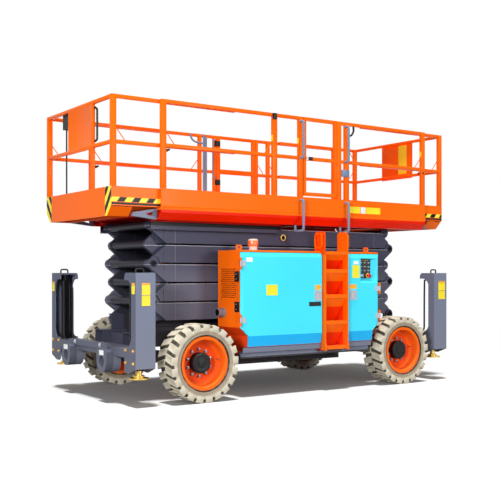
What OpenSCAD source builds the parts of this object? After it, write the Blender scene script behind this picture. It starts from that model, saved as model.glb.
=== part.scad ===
// Diesel rough-terrain scissor lift, stowed as it parks.
// Millimetres, +Z up. +X is the rear, where the scissor pins are fixed; -Y is the ladder side.

/* [Wheels] */
// Distance between the axles
wheelbase = 2930; // [2900:5:2950]
// Tyre diameter over the lugs
tyre_d = 840; // [820:2:850]
// Tyre width
tyre_w = 305; // [295:1:310]
// Width over the tyres
tyres_over = 2290; // [2280:2:2310]
// Wheel flange diameter
rim_d = 580; // [570:1:590]
// Lugs along each side of a tyre
lug_count = 21; // [18:1:24]
// Hub cap diameter
hub_d = 220; // [200:2:230]

/* [Scissor] */
// End pins of an arm past the axles
pin_over = 315; // [305:1:325]
// Height of the lowest pins
pin_z = 850; // [846:1:856]
// Height of one stowed level
level_h = 215; // [213:0.5:216]
// Gap between two stacked arms
arm_gap = 20; // [16:1:24]
// Arm beam width
arm_w = 65; // [60:1:68]
// Half width over the outer arms
arm_out = 550; // [545:1:555]
// Radius of the lug round an end pin
lug_r = 58; // [54:1:60]
// End pin radius
pin_r = 26; // [22:1:28]

/* [Lift cylinders] */
// Barrel radius
barrel_r = 68; // [60:1:72]
// Rod radius
ram_r = 44; // [38:1:48]

/* [Body] */
// Step from the tyres' outer faces in to the cabinet doors
cab_step = 60; // [55:1:70]
// Cabinet front end behind the front axle
cab_front = 490; // [485:1:500]
// Cabinet rear end before the rear axle
cab_rear = 369; // [365:1:380]
// Cabinet top
cab_top = 1645; // [1635:1:1655]
// Sheet thickness of cabinets
sheet = 12; // [10:1:14]
// Door panel thickness
door_t = 25; // [20:1:28]

/* [Outriggers] */
// Gap from a tyre to a column
col_gap = 165; // [155:1:175]
// Column depth along X
col_d = 230; // [225:1:240]
// Step from the tyres' outer faces in to the columns
col_step = 45; // [35:1:55]
// Column width across
col_w = 255; // [245:1:265]
// Column foot height
col_z0 = 345; // [338:1:352]
// Column top
col_z1 = 1390; // [1370:1:1400]

/* [Platform] */
// Reach of an extension deck past the columns
ext_over = 160; // [150:1:170]
// Step from the tyres' outer faces in to the main deck
deck_step = 225; // [220:1:230]
// Top of the toe boards over the upper scissor pins
toe_up = 363; // [355:1:371]
// Guard rail height over the toe boards
rail_h = 952; // [912:2:992]
// Middle rail's share of that height
mid_part = 0.465; // [0.44:0.005:0.49]
// Guard rail tube size
rail_t = 40; // [36:1:42]

/* [Hidden] */
$fn = 64;
wheel_z = tyre_d/2;
axle_x = wheelbase/2;
tyre_out = tyres_over/2;
wheel_y = tyre_out - tyre_w/2;
king_y = tyre_out - tyre_w - 50;
pin_x = axle_x + pin_over;
cab_out = tyre_out - cab_step;
cab_x0 = cab_front - axle_x;
cab_x1 = axle_x - cab_rear;
cab_l = cab_x1 - cab_x0;
col_x0 = axle_x + wheel_z + col_gap;
col_x1 = col_x0 + col_d;
col_out = tyre_out - col_step;
ext_x = col_x1 + ext_over;
deck_y = tyre_out - deck_step;
arm_in = arm_out - arm_w;
inn_out = arm_in - 20;
inn_in = inn_out - arm_w;
half_h = level_h/2;
beam_h = (level_h - arm_gap)/2;
slant = 38;
cheek = 15;
side_gap = 1.5;
cope_r = lug_r + 30;
top_z = pin_z + 5*level_h;
rise = atan2(level_h, 2*pin_x);
// Cylinder eyes along and above an arm's centre line
base_u = 1200;
base_w = -60;
eye_u = 1300;
eye_w = -50;
tube_w = 55;
toe_z = top_z + toe_up;
deck_z = toe_z - 208;
rail_z = toe_z + rail_h;
mid_z = floor(toe_z + mid_part*rail_h);
// The extension decks ride on wear strips with this running gap
slide_gap = 0.3;
strip_h = 8;
door_in = cab_out - door_t;

module block(x0, x1, y0, y1, z0, z1) {
    translate([x0, y0, z0]) cube([x1 - x0, y1 - y0, z1 - z0]);
}

module bar_y(x, z, y0, y1, r) {
    translate([x, y0, z]) rotate([-90, 0, 0]) cylinder(h = y1 - y0, r = r);
}

module bar_x(y, z, x0, x1, r) {
    translate([x0, y, z]) rotate([0, 90, 0]) cylinder(h = x1 - x0, r = r);
}

module bar_z(x, y, z0, z1, r) {
    translate([x, y, z0]) cylinder(h = z1 - z0, r = r);
}

module both() {
    children();
    mirror([0, 1, 0]) children();
}

module ends() {
    children();
    mirror([1, 0, 0]) children();
}

// Sheet drawn in X and Z, standing from y0 to y1
module wall_y(y0, y1) {
    translate([0, y1, 0]) rotate([90, 0, 0]) linear_extrude(y1 - y0) children();
}

// Section drawn in Y and Z, running from x0 to x1
module run_x(x0, x1) {
    translate([x0, 0, 0]) rotate([90, 0, 90]) linear_extrude(x1 - x0) children();
}

// One wheel is drawn on the +Y side, its middle plane at Y = 0
rim_r = rim_d/2;
seat_r = rim_r - 28;
bead = tyre_w/2 - 27;
tread_r = tyre_d/2 - 28;
lug_w = 78;
lug_slant = 14;

module lug(i) {
    intersection() {
        rotate([0, i*360/lug_count, 0]) translate([tread_r - 46, tyre_w/4 + 4, 0])
            rotate([lug_slant, 0, 0]) translate([0, -tyre_w/4 - 12, -lug_w/2]) cube([90, tyre_w/2 + 24, lug_w]);
        translate([0, 6, 0]) rotate([-90, 0, 0]) cylinder(h = tyre_w/2 - 6, r = tyre_d/2);
    }
}

module tyre() {
    w = tyre_w/2;
    rotate([-90, 0, 0]) rotate_extrude() polygon([[seat_r, -bead], [rim_r + 1, -bead],
        [rim_r + 10, -w + 14], [rim_r + 40, -w + 3], [tread_r - 54, -w + 3], [tread_r, -w + 32],
        [tread_r, w - 32], [tread_r - 54, w - 3], [rim_r + 40, w - 3], [rim_r + 10, w - 14],
        [rim_r + 1, bead], [seat_r, bead]]);
    for (i = [0 : lug_count - 1]) lug(i);
    for (i = [0 : lug_count - 1]) mirror([0, 1, 0]) lug(i + 0.5);
}

module rim() {
    difference() {
        union() {
            rotate([-90, 0, 0]) rotate_extrude() polygon([[seat_r - 14, -bead - 12], [rim_r, -bead - 12],
                [rim_r, -bead], [seat_r, -bead], [seat_r, bead], [rim_r, bead], [rim_r, bead + 12],
                [seat_r - 4, bead + 12], [seat_r - 14, bead - 14], [seat_r - 14, 30],
                [190, -4], [100, -4], [100, -18], [190, -18], [seat_r - 14, 8]]);
            bar_y(0, 0, -18, 65, hub_d/2);
            bar_y(0, 0, -122, -18, 128);
        }
        bar_y(0, 0, -200, 20, 45.06);
    }
}

module wheel_at(x, side) {
    translate([x, side*wheel_y, wheel_z]) mirror([0, side < 0 ? 1 : 0, 0]) children();
}

module tyre_front_near() color("Wheat") wheel_at(-axle_x, -1) tyre();
module tyre_front_far() color("Wheat") wheel_at(-axle_x, 1) tyre();
module tyre_rear_near() color("Wheat") wheel_at(axle_x, -1) tyre();
module tyre_rear_far() color("Wheat") wheel_at(axle_x, 1) tyre();
module rim_front_near() color("OrangeRed") wheel_at(-axle_x, -1) rim();
module rim_front_far() color("OrangeRed") wheel_at(-axle_x, 1) rim();
module rim_rear_near() color("OrangeRed") wheel_at(axle_x, -1) rim();
module rim_rear_far() color("OrangeRed") wheel_at(axle_x, 1) rim();

// Steered front axle: a beam with a yoke at each end, knuckles with kingpins, and a tie rod
yoke_z = 95;
arm_x = 150;

module front_axle() color("DimGray") translate([-axle_x, 0, wheel_z]) {
    block(-60, 60, -king_y + 110, king_y - 110, -60, 60);
    both() {
        block(-60, 60, king_y - 140, king_y - 90, -yoke_z - 25, yoke_z + 25);
        for (z = [-yoke_z - 25, yoke_z]) difference() {
            union() {
                block(-46, 46, king_y - 100, king_y, z, z + 25);
                bar_z(0, king_y, z, z + 25, 46);
            }
            bar_z(0, king_y, z - 1, z + 26, 28.06);
        }
        block(-60, 60, 250, 440, 60, 145);
    }
}

module knuckle() {
    bar_z(0, 0, -yoke_z - 35, yoke_z + 35, 28);
    difference() {
        block(-48, 48, -46, 46, -yoke_z + 1, yoke_z - 1);
        block(-60, 60, -60, -36, -yoke_z, yoke_z);
    }
    bar_y(0, 0, 40, wheel_y - king_y + 15, 45);
    bar_y(0, 0, 40, wheel_y - king_y - 126, 90);
    block(40, arm_x, -18, 18, -80, -50);
    bar_z(arm_x, 0, -80, -50, 26);
    bar_z(arm_x, 0, -112, -50, 14);
}

module knuckle_near() color("SlateGray") translate([-axle_x, -king_y, wheel_z]) mirror([0, 1, 0]) knuckle();
module knuckle_far() color("SlateGray") translate([-axle_x, king_y, wheel_z]) knuckle();

module tie_rod() color("Silver") translate([arm_x - axle_x, 0, wheel_z - 97]) difference() {
    union() {
        bar_y(0, 0, -king_y + 19, king_y - 19, 13);
        both() bar_z(0, king_y, -14, 14, 26);
    }
    both() bar_z(0, king_y, -20, 20, 14.06);
}

module rear_axle() color("DimGray") translate([axle_x, 0, wheel_z]) {
    block(-70, 70, -wheel_y + 190, wheel_y - 190, -70, 70);
    both() {
        bar_y(0, 0, wheel_y - 200, wheel_y + 15, 45);
        bar_y(0, 0, wheel_y - 200, wheel_y - 126, 110);
        block(-60, 60, 250, 440, 60, 145);
    }
}

// Chassis: two rails, cross members, belly, scissor tracks and fixed pin brackets
rail_z0 = wheel_z + 145;
rail_z1 = 730;
track_lo = pin_z - 48;
track_hi = pin_z + 48;
sill_x = [cab_x0 + 195, cab_x0 + cab_l/2, cab_x1 - 216];

module sill(x0, x1) {
    run_x(x0, x1) polygon([[cab_out - 115, 450], [cab_out - 85, 450], [cab_out - 85, 500], [cab_out - 30, 500],
        [cab_out - 30, cab_z0 - 5], [cab_out - 42, cab_z0 - 5], [cab_out - 42, 512], [cab_out - 115, 512]]);
}

module chassis_frame() color("SlateGray") {
    both() {
        run_x(40 - col_x0, col_x0 - 40) difference() {
            translate([250, rail_z0]) square([190, rail_z1 - rail_z0]);
            translate([262, rail_z0 + 12]) square([166, rail_z1 - rail_z0 - 24]);
        }
        // Scissor track, a channel open towards the arm
        run_x(-pin_x - 80, -100) polygon([[320, rail_z1], [332, rail_z1], [332, track_lo - 12],
            [inn_in - 10, track_lo - 12], [inn_in - 10, track_lo], [332, track_lo], [332, track_hi],
            [inn_in - 10, track_hi], [inn_in - 10, track_hi + 12], [320, track_hi + 12]]);
        // Fixed pin brackets of the outer arm
        difference() {
            union() {
                wall_y(arm_in, arm_out) polygon([[pin_x - lug_r, rail_z1 - 10], [pin_x + lug_r, rail_z1 - 10],
                    [pin_x + lug_r, pin_z], [pin_x - lug_r, pin_z]]);
                bar_y(pin_x, pin_z, arm_in, arm_out, lug_r);
            }
            block(pin_x - 90, pin_x + 90, arm_in + cheek, arm_out - cheek, pin_z - cope_r, pin_z + 90);
        }
        bar_y(pin_x, pin_z, arm_in, arm_out + 8, pin_r);
        // Front beam ties below the open rail ends
        block(-col_x0, 150 - col_x0, 262, 400, 470, rail_z0);
        block(col_x0 - 150, col_x0, 262, 400, 470, rail_z0);
    }
    block(pin_x - 120, pin_x + 80, -arm_out, arm_out, rail_z0 + 20, rail_z1);
    block(-pin_x - 110, -pin_x - 10, -250, 250, rail_z0, rail_z1 - 30);
    block(405 - axle_x, 505 - axle_x, -250, 250, rail_z0, rail_z1 - 30);
    block(axle_x - 505, axle_x - 405, -250, 250, rail_z0, rail_z1 - 30);
    // Belly and sill carriers of the cabinets
    block(cab_x0 + 45, cab_x1 - 156, -500, 500, 310, rail_z0);
    both() {
        for (x = sill_x) block(x - 40, x + 40, 480, cab_out - 85, 430, 460);
        block(cab_x0 + 55, cab_x1 - 110, cab_out - 115, cab_out - 85, 430, 460);
    }
    // Sill channels below the doors, parted at the ladder
    sill(cab_x0 + 55, cab_x1 - 110);
    mirror([0, 1, 0]) {
        sill(cab_x0 + 55, lad_x0 - 3);
        sill(lad_x1 + 3, cab_x1 - 110);
    }
}

// Outrigger frames: two columns and a cross beam at each end
col_in = col_out - col_w;
col_cx = (col_x0 + col_x1)/2;
jack_y = col_out - 145;
tie_y = 475;
tie_z = 442;
tie_r = 60;

module column_side() {
    difference() {
        polygon([[col_in, col_z0 + 20], [col_in + 40, col_z0], [col_in + 110, col_z0], [col_out, col_z0 + 55],
            [col_out, col_z1], [col_in + 30, col_z1], [col_in, col_z1 - 30]]);
        translate([col_in - 10, col_z0 + 380]) square([165, col_z1 - col_z0 - 560]);
        translate([col_in - 10, col_z0 + 275]) square([60, col_z1 - col_z0 - 350]);
        translate([col_in + 50, col_z0 + 380]) circle(r = 105);
        translate([col_in + 50, col_z1 - 180]) circle(r = 105);
    }
}

module outrigger_frame(tie_y) {
    both() {
        difference() {
            union() {
                run_x(col_x0, col_x0 + 12) column_side();
                run_x(col_x1 - 12, col_x1) column_side();
                block(col_x0, col_x1, col_out - 12, col_out, col_z0 + 55, col_z1);
                block(col_x0, col_x1, col_in, col_out, col_z0 + 60, col_z0 + 80);
                block(col_x0, col_x1, col_in + 30, col_out, col_z1 - 20, col_z1);
            }
            bar_z(col_cx, jack_y, col_z0 + 40, col_z0 + 100, 52);
        }
        // Tie-down lug
        difference() {
            run_x(col_x1 - 90, col_x1 + 86) translate([tie_y, tie_z]) union() {
                circle(r = 120);
                polygon([[-120, 0], [120, 0], [120, 105], [95, 130], [-95, 130], [-120, 105]]);
            }
            bar_x(tie_y, tie_z, col_x1 - 100, col_x1 + 100, tie_r);
        }
    }
    block(col_x0, col_x1, -col_in - 6, col_in + 6, tie_z + tie_r + 5, 600);
    block(col_x1 - 10, col_x1 + 30, -tie_y - 25, tie_y + 25, 565, 630);
}

module outrigger_frames() color("SlateGray") {
    outrigger_frame(tie_y + 45);
    mirror([1, 0, 0]) outrigger_frame(tie_y);
}

module jack_barrels() color("Black") ends() both() difference() {
    union() {
        bar_z(col_cx, jack_y, col_z0 + 30, col_z1 - 20, 50);
        bar_z(col_cx, jack_y, col_z0 + 80, col_z0 + 110, 64);
    }
    bar_z(col_cx, jack_y, 0, col_z1 - 60, 32.06);
}

module jack() {
    bar_z(0, 0, 300, col_z1 - 110, 32);
    bar_z(0, 0, col_z0 - 60, col_z0 - 45, 105);
    bar_z(0, 0, col_z0 - 47, col_z0 - 20, 58);
}

module jack_at(sx, sy) translate([sx*col_cx, sy*jack_y, 0]) jack();

module jack_front_near() color("Goldenrod") jack_at(-1, -1);
module jack_front_far() color("Goldenrod") jack_at(-1, 1);
module jack_rear_near() color("Goldenrod") jack_at(1, -1);
module jack_rear_far() color("Goldenrod") jack_at(1, 1);

// Side cabinets, drawn on the +Y side
cab_in = cab_out - 463;
lad_x0 = cab_x0 + 1170;
lad_x1 = lad_x0 + 365;
cut_z = 780;
cut_l = 104;
cab_z0 = 560;
skirt_z = cab_z0 + 124;
front_hinges = [865, 1495];
rear_hinges = [865, 1200];

module cab_outline() {
    polygon([[cab_x0, cut_z], [cab_x0 + cut_l, skirt_z], [cab_x0 + cut_l, cab_z0], [cab_x1 - cut_l, cab_z0],
        [cab_x1 - cut_l, skirt_z], [cab_x1, cut_z], [cab_x1, cab_top], [cab_x0, cab_top]]);
}

module hinge_fixed(x, z) {
    for (k = [-1, 1]) {
        bar_z(x, cab_out + 9, z + k*49 - 17, z + k*49 + 17, 9);
        block(x - 5, x + 5, cab_out - 60, cab_out + 9, z + k*49 - 17, z + k*49 + 17);
    }
    bar_z(x, cab_out + 9, z - 66, z + 66, 4);
}

// Grille window, and the lap and thickness of the perforated cover over it
grille_y0 = cab_in + 66;
grille_y1 = door_in - 58;
grille_z0 = 1097;
grille_z1 = 1448;
grille_lap = 16;
grille_t = 4;
hole_r = 9;
hole_p = 26;

module cabinet(split0, split1) {
    difference() {
        wall_y(cab_in, door_in - 2) cab_outline();
        wall_y(cab_in + sheet, cab_out + 5) polygon([[cab_x0 + sheet, cut_z + 4],
            [cab_x0 + cut_l + sheet, skirt_z + 4], [cab_x0 + cut_l + sheet, cab_z0 + sheet],
            [split0 - sheet, cab_z0 + sheet], [split0 - sheet, cab_top - 20], [cab_x0 + sheet, cab_top - 20]]);
        wall_y(cab_in + sheet, cab_out + 5) polygon([[split1 + sheet, cab_z0 + sheet],
            [cab_x1 - cut_l - sheet, cab_z0 + sheet], [cab_x1 - cut_l - sheet, skirt_z + 4],
            [cab_x1 - sheet, cut_z + 4], [cab_x1 - sheet, cab_top - 20], [split1 + sheet, cab_top - 20]]);
        // Bay behind the ladder, open below
        if (split1 > split0) wall_y(cab_in + sheet, cab_out + 5) polygon([[split0, cab_z0 - 5],
            [split1, cab_z0 - 5], [split1, cab_top - 20], [split0, cab_top - 20]]);
        // Window behind the grille in the front end plate
        block(cab_x0 - 5, cab_x0 + sheet + 5, grille_y0, grille_y1, grille_z0, grille_z1);
    }
    // Roof edge over the doors
    run_x(cab_x0, cab_x1) polygon([[door_in - 20, cab_top - 20], [door_in, cab_top - 20],
        [door_in, cab_top - 10], [door_in - 10, cab_top], [door_in - 20, cab_top]]);
    // Feet on the sill carriers
    for (x = [sill_x[0], sill_x[2]]) block(x - 40, x + 40, cab_in + 78, cab_in + 278, 460, cab_z0 + 4);
    // End flanges with the fixed hinge leaves
    for (z = front_hinges) hinge_fixed(cab_x0 - 4, z);
    for (z = rear_hinges) hinge_fixed(cab_x1 + 4, z);
    // Lifting eyes
    for (x = [cab_x0 + 80, cab_x1 - 80]) difference() {
        wall_y(door_in - 140, door_in - 125) translate([x - 35, cab_top - 4]) square([70, 64]);
        bar_y(x, cab_top + 34, door_in - 160, door_in - 100, 18);
    }
}

module cabinet_near() color("OrangeRed") mirror([0, 1, 0]) cabinet(lad_x0, lad_x1);
module cabinet_far() color("OrangeRed") cabinet(lad_x0, lad_x0);

// Perforated cover: staggered six-sided holes, every second row shifted by half a pitch
module grille() {
    row = hole_p*sqrt(3)/2;
    rows = floor((grille_z1 - grille_z0 - 2*hole_r)/row);
    cols = floor((grille_y1 - grille_y0 - 2*hole_r)/hole_p);
    run_x(cab_x0 - grille_t, cab_x0) difference() {
        translate([grille_y0 - grille_lap, grille_z0 - grille_lap])
            square([grille_y1 - grille_y0 + 2*grille_lap, grille_z1 - grille_z0 + 2*grille_lap]);
        for (j = [0 : rows], i = [0 : cols - j%2])
            translate([(grille_y0 + grille_y1 - cols*hole_p)/2 + (i + (j%2)/2)*hole_p,
                (grille_z0 + grille_z1 - rows*row)/2 + j*row]) rotate(30) circle(r = hole_r, $fn = 6);
    }
}

module grille_near() color("OrangeRed") mirror([0, 1, 0]) grille();
module grille_far() color("OrangeRed") grille();

// Doors, drawn on the +Y side: bevelled along the top and the hinge edge, and slanting in below the skirt line
top_bevel = 45;
edge_bevel = 24;

module door_shell(x0, x1, edge0, edge1) {
    intersection() {
        wall_y(door_in - 60, cab_out + 20) polygon([[x0, cut_z], [max(x0, cab_x0 + cut_l + 4), skirt_z],
            [max(x0, cab_x0 + cut_l + 4), cab_z0 + 4], [min(x1, cab_x1 - cut_l - 4), cab_z0 + 4],
            [min(x1, cab_x1 - cut_l - 4), skirt_z], [x1, cut_z], [x1, cab_top - 26], [x0, cab_top - 26]]);
        run_x(x0 - 5, x1 + 5) polygon([[door_in, cab_z0 + 120], [door_in, cab_top - 26],
            [cab_out - 17, cab_top - 26], [cab_out, cab_top - 26 - top_bevel], [cab_out, skirt_z],
            [cab_out - 22, cab_z0], [door_in - 0.5, cab_z0]]);
        translate([0, 0, cab_z0 - 10]) linear_extrude(cab_top - cab_z0 + 20) polygon([[x0, door_in - 60],
            [x0, cab_out - edge0*0.6], [x0 + edge0, cab_out], [x1 - edge1, cab_out], [x1, cab_out - edge1*0.6],
            [x1, door_in - 60]]);
    }
}

module hinge_leaf(x, dir, z) {
    difference() {
        union() {
            bar_z(x, cab_out + 9, z - 31, z + 31, 9);
            block(min(x, x + dir*70), max(x, x + dir*70), cab_out - 1, cab_out + 6, z - 31, z + 31);
        }
        bar_z(x, cab_out + 9, z - 40, z + 40, 4.06);
    }
}

// Paddle latch: a dished plate with a paddle and a lock barrel
module latch(x, z) {
    difference() {
        block(x - 54, x + 54, cab_out - 2, cab_out + 9, z - 57, z + 57);
        block(x - 42, x + 42, cab_out + 3, cab_out + 20, z - 45, z + 45);
    }
    block(x - 34, x + 14, cab_out + 2, cab_out + 8, z - 38, z + 38);
    bar_y(x + 28, z, cab_out + 2, cab_out + 8, 9);
}

module door_front(x1) {
    door_shell(cab_x0 + 8, x1, edge_bevel, 3);
    for (z = front_hinges) hinge_leaf(cab_x0 - 4, 1, z);
    latch(x1 - 62, 1123);
}

// Tray for the ground controls, let into the near rear door; its rear and lower sides slant
tray_x0 = cab_x1 - 306;
tray_x1 = cab_x1 - 40;
tray_z0 = 1268;
tray_z1 = 1565;
tray_d = 62;
tray_slope_x = 58;
tray_slope_z = 52;
tray_in = cab_out - tray_d;

module tray(m, y1) {
    k = (y1 - cab_out)/tray_d;
    intersection() {
        translate([0, 0, tray_z0 - 60]) linear_extrude(tray_z1 + m - tray_z0 + 60) polygon([[tray_x0 - m, tray_in - m],
            [tray_x1 - tray_slope_x + m, tray_in - m], [tray_x1 + m + k*tray_slope_x, y1], [tray_x0 - m, y1]]);
        run_x(tray_x0 - 30, tray_x1 + 60) polygon([[tray_in - m, tray_z0 + tray_slope_z - m],
            [y1, tray_z0 - m - k*tray_slope_z], [y1, tray_z1 + m], [tray_in - m, tray_z1 + m]]);
    }
}

module door_rear(x0, cut) {
    difference() {
        union() {
            door_shell(x0, cab_x1 - 8, 3, edge_bevel);
            if (cut) tray(8, cab_out - 2);
        }
        if (cut) tray(0, cab_out + 10);
    }
    for (z = rear_hinges) hinge_leaf(cab_x1 + 4, -1, z);
    latch(x0 + 98, 1123);
}

module door_near_front() color("DeepSkyBlue") mirror([0, 1, 0]) door_front(lad_x0 - 10);
module door_near_rear() color("DeepSkyBlue") mirror([0, 1, 0]) door_rear(lad_x1 + 10, true);
module door_far_front() color("DeepSkyBlue") door_front(lad_x0 - 5);
module door_far_rear() color("DeepSkyBlue") door_rear(lad_x0 + 5, false);

// Ground controls on the tray's floor: a plate with a stop button and three rows of switches
module ground_panel() color("Black") mirror([0, 1, 0]) {
    px = tray_x0 + 5;
    pz = tray_z0 + tray_slope_z + 4;
    block(px, tray_x1 - tray_slope_x - 4, tray_in, tray_in + 8, pz, tray_z1 - 4);
    bar_y(px + 158, pz + 34, tray_in + 7, tray_in + 14, 30);
    bar_y(px + 158, pz + 34, tray_in + 7, tray_in + 38, 19);
    for (i = [0 : 2], k = [0 : 2]) bar_y(px + 40 + i*62, pz + 95 + k*48, tray_in + 7, tray_in + 20, 9);
    block(px + 26, px + 86, tray_in + 7, tray_in + 13, pz + 20, pz + 50);
}

module engine_block() color("DimGray") mirror([0, 1, 0]) {
    block(cab_x0 + 275, cab_x0 + 1015, cab_in + 58, cab_in + 378, cab_z0 + sheet, 1180);
    block(cab_x0 + 415, cab_x0 + 915, cab_in + 118, cab_in + 338, 1180, 1330);
}

module fluid_tank() color("DarkGray") {
    block(cab_x0 + 355, cab_x0 + 1075, cab_in + 68, cab_in + 388, cab_z0 + sheet, 1260);
    bar_z(cab_x0 + 555, cab_in + 228, 1260, 1300, 45);
}

module exhaust() color("Gray") difference() {
    bar_x(185 - cab_out, 950, cab_x0 - 62, cab_x0, 34);
    bar_x(185 - cab_out, 950, cab_x0 - 80, cab_x0 - 6, 27);
}

module beacon() color("Orange") translate([cab_x0 + 295, 185 - cab_out, cab_top]) {
    cylinder(h = 40, r = 52);
    translate([0, 0, 40]) cylinder(h = 80, r = 44);
    translate([0, 0, 120]) cylinder(h = 30, r1 = 44, r2 = 22);
}

// Ladder: deep side plates, pressed steps with a toe space behind each, top plates and grip loops
lad_out = cab_out + 55;
lad_face = lad_out - 15;
step_d = 180;
step_t = 8;
lad_in = lad_face - step_d - 10;
step_z = [485, 780, 1090, 1390, cab_top - 40];
lip = 45;
grip_h = 235;
loop_t = 14;

// Lip, tread and the sloping back that rises to the next lip
module step(z, next) {
    y = lad_face - step_d;
    run_x(lad_x0 + 10, lad_x1 - 10) polygon([[lad_face, z], [lad_face, z + lip], [y, z + lip],
        [lad_face - step_t + 1, next + 8], [lad_face - 2*step_t, next + 8], [y - step_t, z + lip - step_t],
        [lad_face - step_t, z + lip - step_t], [lad_face - step_t, z]]);
}

module round_rect(y0, y1, z0, z1, r) {
    translate([y0 + r, z0]) square([y1 - y0 - 2*r, z1 - z0]);
    translate([y0, z0 + r]) square([y1 - y0, z1 - z0 - 2*r]);
    for (y = [y0 + r, y1 - r], z = [z0 + r, z1 - r]) translate([y, z]) circle(r = r);
}

module ladder() color("OrangeRed") mirror([0, 1, 0]) {
    for (x = [lad_x0, lad_x1 - 20]) run_x(x, x + 20) polygon([[lad_in, 520], [lad_in + 60, 475], [lad_out, 475],
        [lad_out, 520], [lad_face, 560], [lad_face, cab_top - 10], [door_in, cab_top - 10], [door_in, cab_top - 20],
        [lad_in, cab_top - 20]]);
    for (i = [0 : 3]) step(step_z[i], step_z[i + 1]);
    block(lad_x0, lad_x1, door_in, lad_face, cab_top - 40, cab_top);
    for (x = [lad_x0, lad_x1 - 15]) run_x(x, x + 15) polygon([[lad_in, cab_top], [lad_face - 5, cab_top],
        [lad_face - 5, cab_top + grip_h - 30], [lad_face - 35, cab_top + grip_h], [lad_in + 30, cab_top + grip_h],
        [lad_in, cab_top + grip_h - 30]]);
    for (x = [lad_x0 - 30, lad_x1 + 30 - loop_t]) run_x(x, x + loop_t) difference() {
        round_rect(lad_in + 30, lad_face - 25, cab_top + 35, cab_top + 215, 34);
        round_rect(lad_in + 30 + loop_t, lad_face - 25 - loop_t, cab_top + 35 + loop_t, cab_top + 215 - loop_t, 20);
    }
    for (z = [cab_top + 35 + loop_t/2, cab_top + 215 - loop_t/2]) {
        bar_x((lad_in + lad_face)/2, z, lad_x0 - 25, lad_x0 + 5, 6);
        bar_x((lad_in + lad_face)/2, z, lad_x1 - 5, lad_x1 + 25, 6);
    }
}

// One arm, P hand: low end at +X with a tongue, high end at -X with a fork and its pin
function on_arm(u, w) = [u*cos(rise) + w*sin(rise), -u*sin(rise) + w*cos(rise)];

module arm_outline() {
    top_x = pin_x + (lug_r - cos(slant)*(beam_h + half_h))/sin(slant);
    e = lug_r*sqrt(0.5);
    ear = half_h + e - beam_h;
    p = [[pin_x - e - ear, -beam_h], [pin_x - e, -half_h - e],
        [pin_x + lug_r*sin(slant), -half_h + lug_r*cos(slant)], [top_x, beam_h]];
    polygon([p[0], p[1], p[2], p[3], -p[0], -p[1], -p[2], -p[3]]);
    translate([pin_x, -half_h]) circle(r = lug_r);
    translate([-pin_x, half_h]) circle(r = lug_r);
}

module arm_beam(y0, outer) {
    difference() {
        wall_y(y0, y0 + arm_w) arm_outline();
        bar_y(pin_x, -half_h, y0 - 1, y0 + cheek + side_gap, cope_r);
        bar_y(pin_x, -half_h, y0 + arm_w - cheek - side_gap, y0 + arm_w + 1, cope_r);
        bar_y(-pin_x, half_h, y0 + cheek, y0 + arm_w - cheek, cope_r);
        bar_y(pin_x, -half_h, y0 - 1, y0 + arm_w + 1, pin_r + 0.06);
        if (!outer) bar_y(0, 0, y0 - 1, y0 + arm_w + 1, 36.06);
    }
    bar_y(-pin_x, half_h, y0 - 1, y0 + arm_w + 8, pin_r);
    if (outer) {
        bar_y(0, 0, inn_in - 8, y0 + 1, 36);
        difference() {
            bar_y(0, 0, y0 + arm_w - 1, y0 + arm_w + 10, 44);
            bar_y(0, 0, y0 + arm_w + 2, y0 + arm_w + 20, 24);
        }
        // Doubler plates near both ends
        wall_y(y0 + arm_w - 1, y0 + arm_w + 4) intersection() {
            arm_outline();
            for (m = [0, 1]) mirror([m, 0]) translate([pin_x - 450, -half_h]) square([320, 2*half_h]);
        }
    }
}

// base: cross tube of a cylinder's base; eye: cross tube and ears of a cylinder's rod end
module arm_frame(level, hand, outer, base = false, eye = false, foot = false, head = false) {
    y0 = outer ? arm_in : inn_in;
    translate([0, 0, pin_z + (level - 0.5)*level_h]) mirror([hand < 0 ? 0 : 1, 0, 0]) {
        both() arm_beam(y0, outer);
        bar_y(-pin_x, half_h, -y0 - 2, y0 + 2, 46);
        if (base) {
            b = on_arm(base_u, base_w);
            bar_y(b[0], b[1], 10 - y0, y0 - 10, 36);
            both() {
                wall_y(y0 - 26, y0 - 6) union() {
                    translate(b) circle(r = 50);
                    translate([b[0] - 50, b[1]]) square([100, beam_h - 10 - b[1]]);
                }
                block(b[0] - 50, b[0] + 50, y0 - 10, y0 + 2, 15 - beam_h, beam_h - 10);
            }
        }
        if (eye) {
            t = on_arm(eye_u, tube_w);
            q = on_arm(eye_u, eye_w);
            bar_y(t[0], t[1], -y0 - 2, y0 + 2, 36);
            both() wall_y(62, 80) difference() {
                union() {
                    translate(q) circle(r = 46);
                    translate(t) circle(r = 46);
                    polygon([q - [46, 0], q + [46, 0], t + [46, 0], t - [46, 0]]);
                }
                translate(q) circle(r = 28);
            }
        }
        if (foot) both() {
            bar_y(pin_x, -half_h, inn_in - 60, inn_in + arm_w - cheek - side_gap, pin_r + 1);
            bar_y(pin_x, -half_h, inn_in - 60, inn_in - 12, 46);
        }
        if (head) both() {
            bar_y(-pin_x, half_h, arm_out - 2, arm_out + 66, pin_r);
            bar_y(-pin_x, half_h, arm_out + 14, arm_out + 66, 46);
        }
    }
}

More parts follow.
